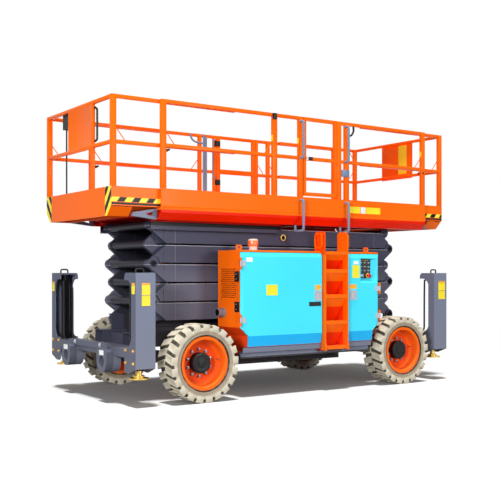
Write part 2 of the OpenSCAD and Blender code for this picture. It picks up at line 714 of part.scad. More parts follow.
module arm_1_outer() color("SlateGray") arm_frame(1, -1, true);
module arm_1_inner() color("SlateGray") arm_frame(1, 1, false, foot = true);
module arm_2_outer() color("SlateGray") arm_frame(2, 1, true);
module arm_2_inner() color("SlateGray") arm_frame(2, -1, false, base = true);
module arm_3_outer() color("SlateGray") arm_frame(3, -1, true);
module arm_3_inner() color("SlateGray") arm_frame(3, 1, false, eye = true);
module arm_4_outer() color("SlateGray") arm_frame(4, 1, true);
module arm_4_inner() color("SlateGray") arm_frame(4, -1, false, base = true);
module arm_5_outer() color("SlateGray") arm_frame(5, -1, true, head = true);
module arm_5_inner() color("SlateGray") arm_frame(5, 1, false, eye = true);

// Lift cylinder from the base tube of one inner arm to the ears of the next
base_p = on_arm(base_u, base_w);
eye_p = [-on_arm(eye_u, eye_w)[0], level_h + on_arm(eye_u, eye_w)[1]];
cyl_l = norm(eye_p - base_p);
cyl_a = atan2(base_p[1] - eye_p[1], eye_p[0] - base_p[0]);

module on_cylinder(level) {
    translate([base_p[0], 0, pin_z + (level - 0.5)*level_h + base_p[1]]) rotate([0, cyl_a, 0]) children();
}

module lift_barrel() {
    difference() {
        union() {
            bar_x(0, 0, 40, cyl_l - 190, barrel_r);
            bar_x(0, 0, cyl_l - 250, cyl_l - 185, barrel_r + 8);
            bar_y(0, 0, -52, 52, 62);
        }
        bar_y(0, 0, -barrel_r, barrel_r, 36.06);
        bar_x(0, 0, 300, cyl_l, ram_r + 0.06);
    }
}

module lift_ram() {
    bar_x(0, 0, 420, cyl_l - 30, ram_r);
    bar_y(cyl_l, 0, -48, 48, 45);
    bar_y(cyl_l, 0, -57, 57, 26);
}

module lower_barrel() color("DimGray") on_cylinder(2) lift_barrel();
module lower_ram() color("Silver") on_cylinder(2) lift_ram();
module upper_barrel() color("DimGray") on_cylinder(4) lift_barrel();
module upper_ram() color("Silver") on_cylinder(4) lift_ram();

// Platform: main deck with side bands, floor, scissor track and pin tongues
deck_x0 = -pin_x - 100;
deck_x1 = pin_x + 290;
head_y = arm_out + 66;

module main_deck() color("OrangeRed") {
    both() {
        run_x(deck_x0, deck_x1) polygon([[deck_y, toe_z], [deck_y, toe_z - 255], [deck_y - 70, toe_z - 328],
            [deck_y - 130, toe_z - 328], [deck_y - 130, toe_z - 313], [deck_y - 76, toe_z - 313],
            [deck_y - 18, toe_z - 250], [deck_y - 18, toe_z]]);
        // Track for the upper outer rollers
        run_x(-pin_x - 75, -80) polygon([[arm_out + 10, top_z - 60], [head_y + 20, top_z - 60],
            [head_y + 20, deck_z - 15], [head_y + 8, deck_z - 15], [head_y + 8, top_z - 48], [arm_out + 10, top_z - 48]]);
        run_x(-pin_x - 75, deck_x1 - 40) translate([arm_out + 10, top_z + 48]) square([head_y - arm_out + 10, 14]);
        // Pin tongue of the upper inner arm
        difference() {
            union() {
                wall_y(inn_in + cheek + side_gap, inn_out - cheek - side_gap) translate([pin_x - lug_r, top_z])
                    square([2*lug_r, deck_z - 10 - top_z]);
                bar_y(pin_x, top_z, inn_in + cheek + side_gap, inn_out - cheek - side_gap, lug_r);
            }
            bar_y(pin_x, top_z, inn_in, inn_out, pin_r + 0.06);
        }
        run_x(deck_x0 + 10, deck_x1 - 10) translate([inn_in + 10, top_z + 90]) square([40, deck_z - 10 - top_z - 90]);
    }
    block(deck_x0, deck_x1, -deck_y + 10, deck_y - 10, deck_z - 20, deck_z);
    both() run_x(deck_x0, deck_x1) translate([deck_y - 150, deck_z - 1]) square([60, strip_h - slide_gap + 1]);
    for (x = [deck_x0, deck_x0 + 1280, deck_x1 - 1370, deck_x1 - 60])
        block(x, x + 60, -deck_y + 110, deck_y - 110, top_z + 90, deck_z - 10);
}

// Guard rails of the main deck: a frame of posts, top rail and middle rail
ry1 = deck_y - 2;
ry0 = ry1 - rail_t;

module rail_frame(x0, x1, posts) {
    block(x0, x1, ry0, ry1, rail_z - rail_t, rail_z);
    block(x0, x1, ry0, ry1, mid_z, mid_z + rail_t);
    for (p = posts) block(p, p + 63, ry0, ry1, toe_z, rail_z);
}

gate_x0 = lad_x0 - 150;
gate_x1 = lad_x1 - 5;
// Gate hinge line behind the rails, and the heights of its two hinges
gate_y = ry0 - 10;
gate_hinges = [toe_z + 112, rail_z - 140];

module main_rails() color("OrangeRed") {
    mirror([0, 1, 0]) {
        rail_frame(deck_x0, gate_x0 - 12, [deck_x0, gate_x0 - 455, gate_x0 - 75]);
        rail_frame(gate_x1 + 10, deck_x1, [gate_x1 + 10, gate_x1 + 135, deck_x1 - 63]);
        for (z = gate_hinges) for (k = [-1, 1])
            bar_z(gate_x0 - 2, gate_y, z + k*32 - 10, z + k*32 + 10, 9);
        for (z = gate_hinges) {
            bar_z(gate_x0 - 2, gate_y, z - 42, z + 42, 4);
            block(gate_x0 - 40, gate_x0 - 2, ry0 - 6, ry0 + 2, z - 42, z - 22);
            block(gate_x0 - 40, gate_x0 - 2, ry0 - 6, ry0 + 2, z + 22, z + 42);
        }
    }
    rail_frame(deck_x0, deck_x1, [deck_x0, gate_x0 - 605, gate_x1 + 135, deck_x1 - 63]);
}

module gate() color("OrangeRed") mirror([0, 1, 0]) {
    block(gate_x0, gate_x1, ry0, ry1, rail_z - rail_t, rail_z);
    block(gate_x0, gate_x1, ry0, ry1, mid_z, mid_z + rail_t);
    block(gate_x0, gate_x1, ry0, ry1, toe_z + 20, toe_z + 60);
    block(gate_x0, gate_x0 + 35, ry0, ry1, toe_z + 20, rail_z);
    block(gate_x1 - 35, gate_x1, ry0, ry1, toe_z + 20, rail_z);
    for (z = gate_hinges) difference() {
        union() {
            bar_z(gate_x0 - 2, gate_y, z - 20, z + 20, 9);
            block(gate_x0 - 2, gate_x0 + 40, ry0 - 6, ry0 + 2, z - 20, z + 20);
        }
        bar_z(gate_x0 - 2, gate_y, z - 30, z + 30, 4.06);
    }
}

// Grab bars beside the gate: an upper grip and a lower hook each
module grab_bar(x) {
    bar_z(x, deck_y + 60, mid_z + 20, rail_z - 40, 15);
    for (z = [mid_z + 20, rail_z - 20 - rail_t]) bar_y(x, z, ry1, deck_y + 60, 15);
    bar_z(x, deck_y + 60, toe_z - 400, toe_z - 20, 15);
    bar_y(x, toe_z - 40, deck_y, deck_y + 60, 15);
    bar_y(x, toe_z - 400, deck_y - 100, deck_y + 60, 15);
    bar_z(x, deck_y - 100, toe_z - 400, toe_z - 328, 15);
}

module grab_bars() color("LightSlateGray") mirror([0, 1, 0]) {
    grab_bar(gate_x0 - 55);
    grab_bar(gate_x1 + 135);
}

// Three-cornered roller brackets at the deck ends
module deck_rollers() color("Gray") both() {
    for (m = [0, 1]) mirror([m, 0, 0]) wall_y(deck_y - 150, deck_y - 95) difference() {
        polygon(m == 1 ? [[-deck_x0, toe_z - 209], [col_cx, toe_z - 260], [col_cx, toe_z - 300], [-deck_x0, toe_z - 330]]
            : [[deck_x1, toe_z - 209], [col_cx, toe_z - 250], [col_cx, toe_z - 300], [deck_x1, toe_z - 330]]);
        if (m == 1) polygon([[35 - deck_x0, toe_z - 243], [145 - deck_x0, toe_z - 272], [35 - deck_x0, toe_z - 300]]);
    }
}

// Extension decks slide out of the main deck's ends; drawn for the rear, mirrored for the front
ey1 = deck_y - 52;
ey0 = ey1 - rail_t;
ext_z = deck_z + strip_h;

module ext_end() {
    polygon([[-ey1, toe_z], [-ey1, toe_z - 195], [-ey1 + 107, toe_z - 305], [ey1 - 107, toe_z - 305],
        [ey1, toe_z - 195], [ey1, toe_z]]);
}

module ext_deck(x0) {
    run_x(ext_x - 16, ext_x) ext_end();
    block(x0, ext_x - 10, -ey1, ey1, ext_z, ext_z + 18);
    both() {
        block(x0, ext_x - 10, ey1 - 18, ey1, ext_z, toe_z);
        run_x(ext_x - 250, ext_x - 10) polygon([[ey1 - 14, toe_z - 210], [ey1 - 14, toe_z - 212], [ey1 - 107, toe_z - 303],
            [ey1 - 122, toe_z - 303], [ey1 - 34, toe_z - 210]]);
    }
    block(ext_x - 250, ext_x - 234, -ey1 + 110, ey1 - 110, toe_z - 303, ext_z + 5);
}

module ext_rails(x0) {
    both() {
        block(x0, ext_x, ey0, ey1, rail_z - rail_t, rail_z);
        block(x0, ext_x, ey0, ey1, mid_z, mid_z + rail_t);
        block(ext_x - 88, ext_x, ey0, ey1, toe_z, rail_z);
        block(x0, x0 + 50, ey0, ey1, toe_z, rail_z);
    }
    block(ext_x - rail_t, ext_x, -ey1, ey1, rail_z - rail_t, rail_z);
    block(ext_x - rail_t, ext_x, -ey1, ey1, mid_z, mid_z + rail_t);
    for (y = [-400, 310]) block(ext_x - rail_t, ext_x, y, y + 50, toe_z, rail_z);
}

module front_deck() color("OrangeRed") mirror([1, 0, 0]) ext_deck(ext_x - 2290);
module rear_deck() color("OrangeRed") ext_deck(ext_x - 1640);

module front_rails() color("OrangeRed") mirror([1, 0, 0]) {
    ext_rails(ext_x - 1540);
    block(ext_x - 12, ext_x - 4, -330, 370, mid_z + 10, rail_z - 10);
}

module rear_rails() color("OrangeRed") {
    ext_rails(ext_x - 1440);
    block(ext_x - 12, ext_x - 4, -350, 350, mid_z + 10, rail_z - 10);
}

module control_box() color("Black") mirror([1, 0, 0]) {
    block(ext_x - 190, ext_x - rail_t, 120, 480, rail_z - 200, rail_z - 30);
    bar_z(ext_x - 115, 200, rail_z - 32, rail_z + 40, 16);
    bar_z(ext_x - 115, 400, rail_z - 32, rail_z - 8, 24);
    bar_z(ext_x - 70, 440, ext_z + 18, rail_z - 198, 9);
}

chassis_frame();
front_axle();
rear_axle();
outrigger_frames();
jack_barrels();
cabinet_near();
cabinet_far();
grille_near();
grille_far();
engine_block();
fluid_tank();
ladder();
beacon();
exhaust();
knuckle_near();
knuckle_far();
tie_rod();
tyre_front_near();
tyre_front_far();
tyre_rear_near();
tyre_rear_far();
rim_front_near();
rim_front_far();
rim_rear_near();
rim_rear_far();
jack_front_near();
jack_front_far();
jack_rear_near();
jack_rear_far();
door_near_front();
door_near_rear();
door_far_front();
door_far_rear();
ground_panel();
arm_1_outer();
arm_1_inner();
arm_2_outer();
arm_2_inner();
arm_3_outer();
arm_3_inner();
arm_4_outer();
arm_4_inner();
arm_5_outer();
arm_5_inner();
lower_barrel();
lower_ram();
upper_barrel();
upper_ram();
main_deck();
main_rails();
grab_bars();
deck_rollers();
gate();
front_deck();
front_rails();
control_box();
rear_deck();
rear_rails();
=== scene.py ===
# %% [markdown]
# # A rough-terrain scissor lift, dressed for the camera
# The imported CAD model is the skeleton: its solids already have the right sizes and joints.
# This lesson lights them, paints them with node materials, and adds the pieces that CAD left plain:
# tyres with soft lugs, wheel nuts, rail tubes, blank plates, switches, bolts and hoses.

# %% Load the frame
import bpy, math
from mathutils import Matrix, Vector


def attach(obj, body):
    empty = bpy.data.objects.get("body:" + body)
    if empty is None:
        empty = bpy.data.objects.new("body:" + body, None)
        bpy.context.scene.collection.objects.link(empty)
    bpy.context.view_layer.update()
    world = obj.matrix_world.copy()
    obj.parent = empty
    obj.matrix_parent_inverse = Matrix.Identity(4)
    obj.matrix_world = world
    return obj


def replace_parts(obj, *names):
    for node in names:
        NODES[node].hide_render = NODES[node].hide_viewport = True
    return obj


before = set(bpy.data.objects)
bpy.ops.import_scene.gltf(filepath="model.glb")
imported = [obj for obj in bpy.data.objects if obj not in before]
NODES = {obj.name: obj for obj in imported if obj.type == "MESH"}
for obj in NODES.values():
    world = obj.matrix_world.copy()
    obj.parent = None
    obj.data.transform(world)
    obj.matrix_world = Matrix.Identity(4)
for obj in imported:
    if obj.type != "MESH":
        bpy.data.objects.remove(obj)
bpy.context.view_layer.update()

# %% [markdown]
# ## Camera
# The picture was taken level, from the ladder side and a little ahead of the machine.
# A level camera keeps the posts upright; a small upward shift of the sensor frames the tall platform,
# which is what a photographer does with a shift lens instead of tilting the camera.

# %% Camera
EYE = Vector((-6.458, -9.147, 1.377))
YAW = math.radians(34.82)
LENS, SENSOR, SHIFT_UP = 63.6, 36, 0.048
bpy.ops.object.camera_add(location=EYE, rotation=(math.radians(90), 0, -YAW))
camera = bpy.context.object
camera.data.sensor_width = SENSOR
camera.data.lens = LENS
camera.data.shift_y = SHIFT_UP
bpy.context.scene.camera = camera
print("camera", tuple(EYE), "lens", LENS)

# %% [markdown]
# ## Lamps
# Two large soft lamps and a soft sun stand in for a studio. One lamp is low on the ladder side and reaches in
# under the deck; the other stands off the front corner and lights the end faces and the long side at a slant.
# The sun is almost straight above, which drops a soft shadow right under the machine.

# %% Lamps
scene = bpy.context.scene
scene.view_settings.view_transform = "Standard"
LOOK_AT, LAMP_SIZE = Vector((0, 0, 1.6)), 3.0
SUN_FALL, SUN_POWER, SUN_BLUR = Vector((0.09, 0.1, -1)), 3.2, math.radians(5)


def deselect():
    bpy.ops.object.select_all(action="DESELECT")


def aim(lamp, way):
    lamp.rotation_euler = way.to_track_quat("-Z", "Y").to_euler()


def soft_lamp(name, place, power):
    deselect()
    bpy.ops.object.light_add(type="AREA", location=place)
    lamp = bpy.context.object
    lamp.name = name
    lamp.data.shape = "DISK"
    lamp.data.size = LAMP_SIZE
    lamp.data.energy = power
    aim(lamp, LOOK_AT - Vector(place))
    return lamp


key = soft_lamp("key_lamp", (3.0, -12.0, 3.0), 570)
front = soft_lamp("front_lamp", (-9.5, -6.5, 3.4), 800)
deselect()
bpy.ops.object.light_add(type="SUN", location=(0, 0, 8))
top = bpy.context.object
top.name = "top_lamp"
top.data.energy = SUN_POWER
top.data.angle = SUN_BLUR
aim(top, SUN_FALL)
print("lamps", key.name, front.name, top.name)

# %% [markdown]
# ## Shader sums
# A finish is a small sum over the surface: paint, plus dust low down, minus gloss where it is scuffed.
# Wiring each Math node by hand hides that sum, so a socket is wrapped in a class that knows + - * and <.
# One method adds any node, with its settings first and then its values or links.

# %% Sockets that can be added up
class Sock:
    """A node's output that can stand in a sum."""
    def __init__(self, nodes, socket):
        self.nodes, self.socket = nodes, socket

    def sum_with(self, work, a, b):
        return self.nodes.add("ShaderNodeMath", {"operation": work}, {0: a, 1: b})

    def __add__(self, other): return self.sum_with("ADD", self, other)
    def __radd__(self, other): return self.sum_with("ADD", other, self)
    def __sub__(self, other): return self.sum_with("SUBTRACT", self, other)
    def __rsub__(self, other): return self.sum_with("SUBTRACT", other, self)
    def __mul__(self, other): return self.sum_with("MULTIPLY", self, other)
    def __rmul__(self, other): return self.sum_with("MULTIPLY", other, self)
    def __lt__(self, other): return self.sum_with("LESS_THAN", self, other)
    def __gt__(self, other): return self.sum_with("GREATER_THAN", self, other)
    def __mod__(self, other): return self.sum_with("FLOORED_MODULO", self, other)
    def __abs__(self): return self.sum_with("ABSOLUTE", self, 0)

    def root(self): return self.sum_with("SQRT", self, 0)

    def within(self, low, high):
        return (self > low)*(self < high)

    def step(self, low, high):
        return self.nodes.add("ShaderNodeMapRange", {"interpolation_type": "SMOOTHSTEP"},
                              {"Value": self, "From Min": low, "From Max": high})


class Nodes:
    """A node tree, of a material or of the sky, to which nodes are added."""
    def __init__(self, tree):
        self.tree = tree

    def add(self, kind, settings=None, values=None, out=0):
        node = self.tree.nodes.new(kind)
        for key, value in (settings or {}).items():
            setattr(node, key, value)
        for key, value in (values or {}).items():
            self.feed(node.inputs[key], value)
        return Sock(self, node.outputs[out])

    def feed(self, socket, value):
        if isinstance(value, Sock):
            self.tree.links.new(value.socket, socket)
        elif socket.type == "RGBA":
            socket.default_value = (*value[:3], 1)
        else:
            socket.default_value = value


class Finish(Nodes):
    """A material's nodes, with the place on the piece at hand as x, y and z."""
    def __init__(self, name):
        self.material = bpy.data.materials.new(name)
        self.material.use_nodes = True
        super().__init__(self.material.node_tree)
        self.shader = self.tree.nodes["Principled BSDF"]
        self.place = self.add("ShaderNodeTexCoord", out="Object")
        split = self.add("ShaderNodeSeparateXYZ", {}, {0: self.place}).socket.node
        self.x, self.y, self.z = (Sock(self, axis) for axis in split.outputs)

    def set(self, **values):
        for key, value in values.items():
            self.feed(self.shader.inputs[key.replace("_", " ")], value)

    def noise(self, scale, detail=3.0, rough=0.55, stretch=None):
        place = self.place
        if stretch:
            place = self.add("ShaderNodeMapping", {}, {"Vector": place, "Scale": stretch})
        return self.add("ShaderNodeTexNoise", {}, {"Vector": place, "Scale": scale, "Detail": detail,
                                                   "Roughness": rough}, out="Fac")

    def mix(self, share, a, b):
        return self.add("ShaderNodeMix", {"data_type": "RGBA"}, {0: share, 6: a, 7: b}, out=2)

    def shade(self, colour, amount):
        return self.add("ShaderNodeVectorMath", {"operation": "SCALE"}, {0: colour, "Scale": amount})

    def bump(self, height, strength, depth=0.001):
        self.set(Normal=self.add("ShaderNodeBump", {}, {"Height": height, "Strength": strength, "Distance": depth}))


def rgb(red, green, blue):
    """A colour as it is seen on screen, 0 to 255, turned into the linear values that a shader takes."""
    return tuple(c/3294.6 if c <= 10 else ((c/255 + 0.055)/1.055)**2.4 for c in (red, green, blue))


print("shader helper ready")

# %% [markdown]
# ## Sky
# An even white sky is the backdrop and fills the shadows. Rays from the camera, and those that go on from it by
# a mirror or through glass, see it at full white. Rays that only carry light get a fifth of it,
# so that the lamps still give the machine its form.

# %% Sky
SKY_FILL, SKY_SEEN = 0.2, 1.0


def seen_directly(nodes):
    """1 for rays from the camera, also by mirror or glass, and 0 for rays that only carry light."""
    ray = nodes.add("ShaderNodeLightPath").socket.node
    camera_ray, mirror_ray, glass_ray = (Sock(nodes, ray.outputs[f"Is {kind} Ray"])
                                         for kind in ("Camera", "Glossy", "Transmission"))
    return (camera_ray + mirror_ray + glass_ray) > 0.5


scene.world = bpy.data.worlds.new("studio_sky")
scene.world.use_nodes = True
sky = Nodes(scene.world.node_tree)
backdrop = sky.tree.nodes["Background"]
sky.feed(backdrop.inputs["Color"], (1, 1, 1))
sky.feed(backdrop.inputs["Strength"], sky.add("ShaderNodeMapRange", {}, {
    "Value": seen_directly(sky), "To Min": SKY_FILL, "To Max": SKY_SEEN}))
print("sky", scene.world.name)

# %% [markdown]
# ## Sprayed paint
# Most of the machine is sprayed steel: orange platform, slate frame and arms, light blue doors.
# Sprayed paint isn't one flat colour: it has a faint orange-peel surface, slow drifts in tone,
# fine scuffs where things rub, and dust that settles low down. One function makes them all,
# and a finish that has stripes, a second colour or painted light and shade passes its own small rule for where that
# goes.

# %% Paint
DUST, SCUFF_GREY = rgb(150, 140, 124), rgb(196, 190, 182)
DUST_LOW, DUST_TOP = 0.1, 1.0
COAT_ROUGH, PAINT_SHINE = 0.12, 0.07


def paint(name, colour, rough=0.36, dust=0.35, scuff=0.12, coat=0.03, rule=None, peel=0.06):
    f = Finish(name)
    drift = f.noise(1.7, 4)
    speck = f.noise(38.0, 6, 0.7)
    rub = f.noise(9.0, 5, 0.7, (1, 1, 5))
    tone = rule(f, colour) if rule else colour
    tone = f.shade(tone, 0.93 + drift*0.14)
    worn = rub.step(0.62, 0.76)*speck.step(0.45, 0.7)*scuff
    tone = f.mix(worn, tone, SCUFF_GREY)
    low = (1 - f.z.step(DUST_LOW, DUST_TOP))*speck.step(0.25, 0.75)*dust
    f.set(Base_Color=f.mix(low, tone, DUST), Coat_Weight=coat - low*coat, Coat_Roughness=COAT_ROUGH,
          Roughness=rough + (drift - 0.5)*0.16 + low*0.5 + worn*0.4, Specular_IOR_Level=PAINT_SHINE)
    f.bump(f.noise(260.0, 2) + speck*0.4, peel)
    return f.material


# Besides the true paints, some colours here are painted shade: the deeper orange for orange faces in shade, and the
# end, arm and belly slates for slate in shade.
ORANGE, SHADE_ORANGE = rgb(254, 108, 8), rgb(238, 34, 0)
SLATE, END_FACE_SHADE = rgb(120, 126, 146), rgb(92, 97, 116)
SHADED_SLATE, BELLY_SHADE = rgb(72, 73, 92), rgb(58, 57, 64)
SKY_BLUE, LOW_BLUE = rgb(72, 226, 254), rgb(30, 186, 252)
YELLOW, RED, BLACK = rgb(250, 232, 70), rgb(220, 24, 28), rgb(22, 22, 25)
STEEL = rgb(186, 190, 198)

orange = paint("orange_paint", ORANGE, dust=0.22)
slate = paint("slate_paint", SLATE, rough=0.45, dust=0.3, coat=0.05)
print("paints", orange.name, slate.name)

# %% [markdown]
# ## Frame, cabinets and ladder
# On these pieces a part of the surface is painted shade. The frame is painted dark all over as the shade of its belly,
# its ends a lighter shaded slate, and only the lit sill keeps the plain slate; the end faces of the columns are darker
# in painted shade. The cut under a cabinet, the toe spaces of the ladder and the plates behind its handle loops lie in
# shade, so their orange is a painted shade orange, and the inside of a perforated cover is painted nearly black as
# shade.
# Each rule picks its faces by place, so no face has to be cut.

# %% Frame and cabinet finishes
SILL_IN, SILL_Z, FRAME_END, COLUMN_END = 0.95, 0.448, 1.7, 2.279
CUT_Z, GRILLE_FACE, GRILLE_SHADE = 0.781, -0.9784, rgb(44, 24, 14)
TOE_DEPTH, LADDER_TOP, GRIP_PLATE = 1.048, 1.6, (0.19, 0.212)


def belly_rule(f, colour):
    # Painted shade: the frame is dark belly shade, its ends shaded slate, and only the lit sill plain slate.
    tone = f.mix(abs(f.x) > FRAME_END, colour, SHADED_SLATE)
    return f.mix((abs(f.y) > SILL_IN)*(f.z > SILL_Z), tone, SLATE)


def column_rule(f, colour):
    # Painted shade on both end faces of each column.
    return f.mix(abs(f.x) > COLUMN_END, colour, END_FACE_SHADE)


def cabinet_rule(f, colour):
    # Painted shade on the cut under the cabinet.
    return f.mix((f.z < CUT_Z)*0.7, colour, SHADE_ORANGE)


def ladder_rule(f, colour):
    # Painted shade in the toe spaces and on the plates behind the handle loops.
    toe_space = (abs(f.y) < TOE_DEPTH)*(f.z < LADDER_TOP)
    behind_loop = (f.z > LADDER_TOP)*f.x.within(*GRIP_PLATE)
    return f.mix(toe_space*0.85 + behind_loop*0.55, colour, SHADE_ORANGE)


def grille_rule(f, colour):
    # Painted shade: the inside of the perforated cover, seen through its holes.
    return f.mix(f.x > GRILLE_FACE, colour, GRILLE_SHADE)


belly_slate = paint("belly_slate", BELLY_SHADE, rough=0.5, dust=0.2, coat=0.02, rule=belly_rule)
column_slate = paint("column_slate", SLATE, rough=0.45, dust=0.3, coat=0.05, rule=column_rule)
cabinet_orange = paint("cabinet_orange", ORANGE, dust=0.22, rule=cabinet_rule)
ladder_orange = paint("ladder_orange", ORANGE, dust=0.15, rule=ladder_rule)
grille_orange = paint("grille_orange", ORANGE, dust=0.1, rule=grille_rule)
print("frame", belly_slate.name, column_slate.name, "cabinets", cabinet_orange.name)

# %% [markdown]
# ## Scissor arms
# The stowed arms lie in the shade of the deck, and daylight from below reaches the low ones. So their slate is painted
# in light and shade: paler low down, darker higher up and nearly black inside the stack. A thin light line along each
# tube's top edge is a painted highlight, and a weld seam crosses each arm near its ends, drawn as a fainter line in the
# same pale colour.

# %% Arm finish
ARM_LOW, ARM_SHADE, ARM_HIGHLIGHT = rgb(104, 105, 122), rgb(30, 30, 36), rgb(168, 170, 182)
ARM_FIRST_TOP, ARM_LEVEL, ARM_SEAM = 1.055, 0.215, 1.5
EDGE_LINE, SEAM_LINE = 0.008, 0.003
PALE_TO_DARK, STACK_INSIDE = (1.2, 1.6), (0.39, 0.47)


def arm_rule(f, colour):
    # Painted light low down, fading into the shaded slate above.
    tone = f.mix(f.z.step(*PALE_TO_DARK), ARM_LOW, colour)
    # Painted highlight along each top edge; the weld seam gets the same pale colour, fainter.
    edge = ((f.z - ARM_FIRST_TOP) % ARM_LEVEL) > ARM_LEVEL - EDGE_LINE
    seam = abs(abs(f.x) - ARM_SEAM) < SEAM_LINE
    tone = f.mix(edge*0.8, f.mix(seam*0.35, tone, ARM_HIGHLIGHT), ARM_HIGHLIGHT)
    # Painted shade inside the stack.
    return f.mix((1 - abs(f.y).step(*STACK_INSIDE))*0.8, tone, ARM_SHADE)


arm_slate = paint("arm_slate", SHADED_SLATE, rough=0.42, dust=0.1, coat=0.05, rule=arm_rule)
print("arms", arm_slate.name)

# %% [markdown]
# ## Doors, decks and warning stripes
# The doors are light blue with a deeper blue skirt, and all that stands proud of a door's face is bare steel:
# hinges and latches. The ends and sides of the extension decks carry slanted yellow and black bars.
# The main deck's band gets a painted shade orange underneath; below it the scissor track is painted black as shade
# under the deck, and its lowest strip in the shaded slate of the arms.
# Each is a rule over X, Y and Z, so the colours stay put when a door swings or a deck slides.

# %% Doors and stripes
DOOR_FACE, SKIRT_Z = 1.0856, 0.685
DECK_END, DECK_SIDE, END_BAR = 2.438, 0.8665, 0.72
SIDE_BAR, SIDE_SLOT = (2.128, 2.176), (2.098, 2.121)
END_PITCH, SIDE_PITCH = 0.11, 0.17
UNDER_BAND, TRACK_TOP, TRACK_DARK = 2.062, 1.952, 1.907


def door_rule(f, colour):
    tone = f.mix(f.z < SKIRT_Z, colour, LOW_BLUE)
    return f.mix(abs(f.y) > DOOR_FACE, tone, STEEL)


def slanted_bars(f, place, pitch):
    return f.mix((place % pitch) < pitch*0.5, YELLOW, BLACK)


def stripe_rule(f, colour):
    on_end = abs(f.x) > DECK_END
    end_bars = on_end*(abs(f.y) > END_BAR)
    side = (abs(f.y) > DECK_SIDE)*(1 - on_end)
    tone = f.mix(side*f.z.within(*SIDE_SLOT), colour, BLACK)
    tone = f.mix(end_bars, tone, slanted_bars(f, abs(f.y)*-0.8 + f.z*0.62, END_PITCH))
    return f.mix(side*f.z.within(*SIDE_BAR), tone, slanted_bars(f, f.x + f.z*-0.8, SIDE_PITCH))


def band_rule(f, colour):
    # Painted shade: the band's underside, then the track black below it, and its lowest strip in shaded slate.
    band = f.mix(f.z < UNDER_BAND, colour, SHADE_ORANGE)
    track = f.mix(f.z < TRACK_DARK, BLACK, SHADED_SLATE)
    return f.mix(f.z < TRACK_TOP, band, track)


door_blue = paint("door_blue", SKY_BLUE, rough=0.3, dust=0.16, scuff=0.05, coat=0.04, rule=door_rule)
deck_orange = paint("deck_orange", ORANGE, dust=0.1, rule=band_rule)
striped_orange = paint("striped_orange", ORANGE, dust=0.15, rule=stripe_rule)
print("doors", door_blue.name, "decks", deck_orange.name, striped_orange.name)

# %% [markdown]
# ## Tyres and rims
# The tyres are pale non-marking rubber with a browner ring beside the rim and fine lines on the sidewall.
# Painted shade darkens the grooves between the lugs, and a painted black ring stands for the shade in the gap at the
# bead.
# All of that goes by the distance from the axle, and so does the painted shade that deepens the rim's orange towards
# the middle of its dish.

# %% Tyre rubber and rim paint
TYRE_CREAM, TYRE_RING = rgb(207, 199, 178), rgb(140, 124, 104)
GROOVE_SHADE, TYRE_BLOTCH = rgb(48, 44, 37), rgb(190, 178, 152)
WHEEL_X, WHEEL_Y, WHEEL_Z = 1.465, 0.9925, 0.42
RIM_SHADE, BEAD_EDGE, RING_EDGE = (0.19, 0.262), (0.305, 0.308), (0.340, 0.356)
OUTER_LINE, INNER_LINE = (0.3325, 0.3365), (0.317, 0.3195)
GROOVE_FLOOR, LUG_TOP, GROOVE_HALF = (0.374, 0.388), (0.402, 0.416), 0.146


def distance(across, up):
    return (across*across + up*up).root()


def axle_distance(f):
    return distance(abs(f.x) - WHEEL_X, f.z - WHEEL_Z)


def tyre_rubber():
    f = Finish("pale_tyre_rubber")
    reach = axle_distance(f)
    speck = f.noise(46.0, 6, 0.7)
    blotch = f.noise(7.0, 4, 0.6)
    lines = reach.within(*OUTER_LINE) + reach.within(*INNER_LINE)
    ring = (1 - reach.step(*RING_EDGE))*(1 - 0.55*lines)
    between_walls = abs(abs(f.y) - WHEEL_Y) < GROOVE_HALF
    # Painted shade between the lugs.
    groove = (1 - reach.step(*LUG_TOP))*reach.step(*GROOVE_FLOOR)*between_walls
    tone = f.mix(ring*0.85, TYRE_CREAM, TYRE_RING)
    tone = f.mix(groove*0.92, tone, GROOVE_SHADE)
    # Painted shade: a black ring at the bead, in the gap next to the rim.
    tone = f.mix(1 - reach.step(*BEAD_EDGE), tone, BLACK)
    tone = f.mix(blotch.step(0.45, 0.75)*0.35, tone, TYRE_BLOTCH)
    f.set(Base_Color=f.shade(tone, 0.86 + speck*0.24), Roughness=0.72 + speck*0.2)
    f.bump(speck + f.noise(210.0, 3)*0.4, 0.25, 0.0015)
    return f.material


def rim_rule(f, colour):
    # Painted shade towards the middle of the dish.
    return f.mix((1 - axle_distance(f).step(*RIM_SHADE))*0.6, colour, SHADE_ORANGE)


rubber = tyre_rubber()
rim_orange = paint("rim_orange", ORANGE, dust=0.15, rule=rim_rule)
print("wheels", rubber.name, rim_orange.name)

# %% [markdown]
# ## Bare metal and plastic
# Jack feet are yellow zinc plate, rods are ground chrome, and the exhaust is a grey pipe with a sooty bore.
# Knobs and boxes are black moulded plastic, and the blank plates are coloured film.

# %% Metal and plastic
PIPE_Y, PIPE_Z, PIPE_BORE = -0.735, 0.942, 0.0415
PLASTIC_SHINE = 0.25


def metal(name, colour, rough, grain=(1, 1, 14), scratch=0.12):
    f = Finish(name)
    lines = f.noise(70.0, 4, 0.6, grain)
    blotch = f.noise(6.0, 4)
    f.set(Base_Color=f.shade(colour, 0.85 + blotch*0.3), Metallic=1.0,
          Roughness=rough + (lines - 0.5)*scratch*2 + (blotch - 0.5)*0.12)
    f.bump(lines, 0.05)
    return f.material


def plastic(name, colour, rough=0.45, grain=190.0):
    f = Finish(name)
    speck = f.noise(grain, 3)
    blotch = f.noise(5.0, 4)
    f.set(Base_Color=f.shade(colour, 0.82 + blotch*0.36), Roughness=rough + (blotch - 0.5)*0.2,
          Specular_IOR_Level=PLASTIC_SHINE)
    f.bump(speck, 0.12, 0.0006)
    return f.material


def pipe_rule(f, colour):
    return f.mix(distance(f.y - PIPE_Y, f.z - PIPE_Z) < PIPE_BORE, colour, BLACK)


